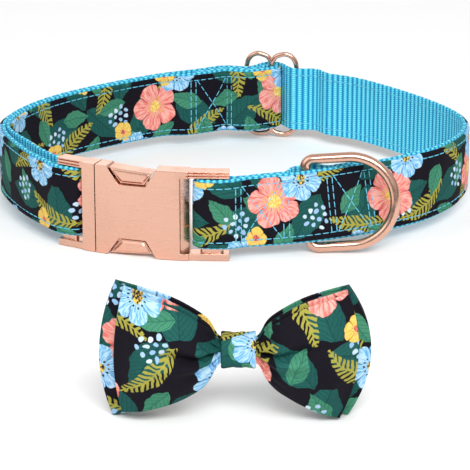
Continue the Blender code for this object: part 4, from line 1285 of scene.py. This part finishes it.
def band_piece(name, line, section, across, material, print_at=(0.0, 0.0), ripple=None):
    """A band run round a closed line: the section gives across the band and how far in."""
    line = even_path(line, BAND_STEP)
    line = np.roll(line, -int(np.argmin(line[:, 0])), axis=0)
    inward = np.roll(line, -1, axis=0) - np.roll(line, 1, axis=0)
    inward = np.stack([-inward[:, 1], inward[:, 0]], axis=1)
    inward /= np.linalg.norm(inward, axis=1)[:, None]
    run = run_length(np.concatenate([line, line[:1]]))[:-1]
    points, cloth = [], []
    for place, side, at in zip(line, inward, run):
        for wide, depth in section:
            out, up = place + side * (depth + (ripple(wide, at) if ripple else 0.0))
            points.append((*to_part(BOW_X + across + wide, BOW_Y - out), up))
            cloth.append((wide + print_at[0], at + print_at[1], 0.0))
    faces = tube_faces(len(line), len(section), closed=True)
    return make_piece(name, points, faces, material, cloth, 60.0), run[-1]


def make_knot(material):
    deep = loop_back("front", 1, 0.0, 0.0) + PINCH + GAP + KNOT_WALL
    half = KNOT_WIDE / 2
    face = [(wide, KNOT_HOLLOW * (1 - (wide / half) ** 2) if abs(wide) < 0.8 * half else KNOT_HEM)
            for wide in np.linspace(-0.94 * half, 0.94 * half, 21)]

    def ripple(wide, at):
        """Fine creases along the strip."""
        fine = sum(deep * math.sin(across * wide + along * at) for deep, across, along in KNOT_CREASES)
        return fine * max(0.0, 1 - (abs(wide) / half) ** 4)

    piece, around = band_piece("bow_knot_band", rounded_loop(deep, KNOT_HIGH, deep / 2),
                               band_section(face, KNOT_EDGE, half), 0.0, material, PRINT_AT["knot"], ripple)
    fit(piece, "bow_knot")


make_bow_loop("back", printed)
make_bow_loop("front", printed)
make_knot(printed)


# The elastics: two bands of black woven elastic, closed on themselves behind the wings.
# They are slipped over the collar's strap to carry the bow.
ELASTIC_WIDE, ELASTIC_THICK = 6.0, 1.2
ELASTIC_INNER_HIGH, ELASTIC_INNER_DEEP = 26.4, 5.6
ELASTIC_X = 27.5
ELASTIC_RIB, ELASTIC_RIB_DEPTH, ELASTIC_YARN = 0.75, 0.12, 0.5
ELASTIC_EDGE = ((1.0, 0.5), (1.0, 0.75), (0.94, ELASTIC_THICK))   # share of half its width, how deep in


def elastic_material():
    """Woven elastic: lengthwise cords with fine yarns crossing them, with painted highlight on the cords'
    crowns and painted shade between them.
    """
    material, shader, cloth = cloth_material("black_elastic")
    cord = abs((cloth.part(0) * (math.pi / ELASTIC_RIB)).sine())
    height = (cloth.part(1) * (2 * math.pi / ELASTIC_YARN)).sine() * 0.15 + cord
    # The colour follows the relief: the cords' crowns get painted highlight, the grooves between them
    # painted shade.
    feed(shader, {"Base Color": tint(height.step(0.1, 1.0), "0E0E11", "2E2E36"),
                  "Roughness": cord * -0.15 + 0.75, "Normal": height.bump(0.5, 0.00015)})
    return material


def make_elastics(material):
    deep = ELASTIC_INNER_DEEP + 2 * ELASTIC_THICK
    line = rounded_loop(deep, ELASTIC_INNER_HIGH + 2 * ELASTIC_THICK, KNOT_WALL - deep / 2)
    half = ELASTIC_WIDE / 2
    face = [(wide, ELASTIC_RIB_DEPTH * (1 - abs(math.sin(math.pi * wide / ELASTIC_RIB))))
            for wide in np.linspace(-0.95 * half, 0.95 * half, 33)]
    section = band_section(face, ELASTIC_EDGE, half)
    for side, node in ((-1, "bow_elastic_left"), (1, "bow_elastic_right")):
        fit(band_piece(node + "_band", line, section, side * ELASTIC_X, material)[0], node)


make_elastics(elastic_material())
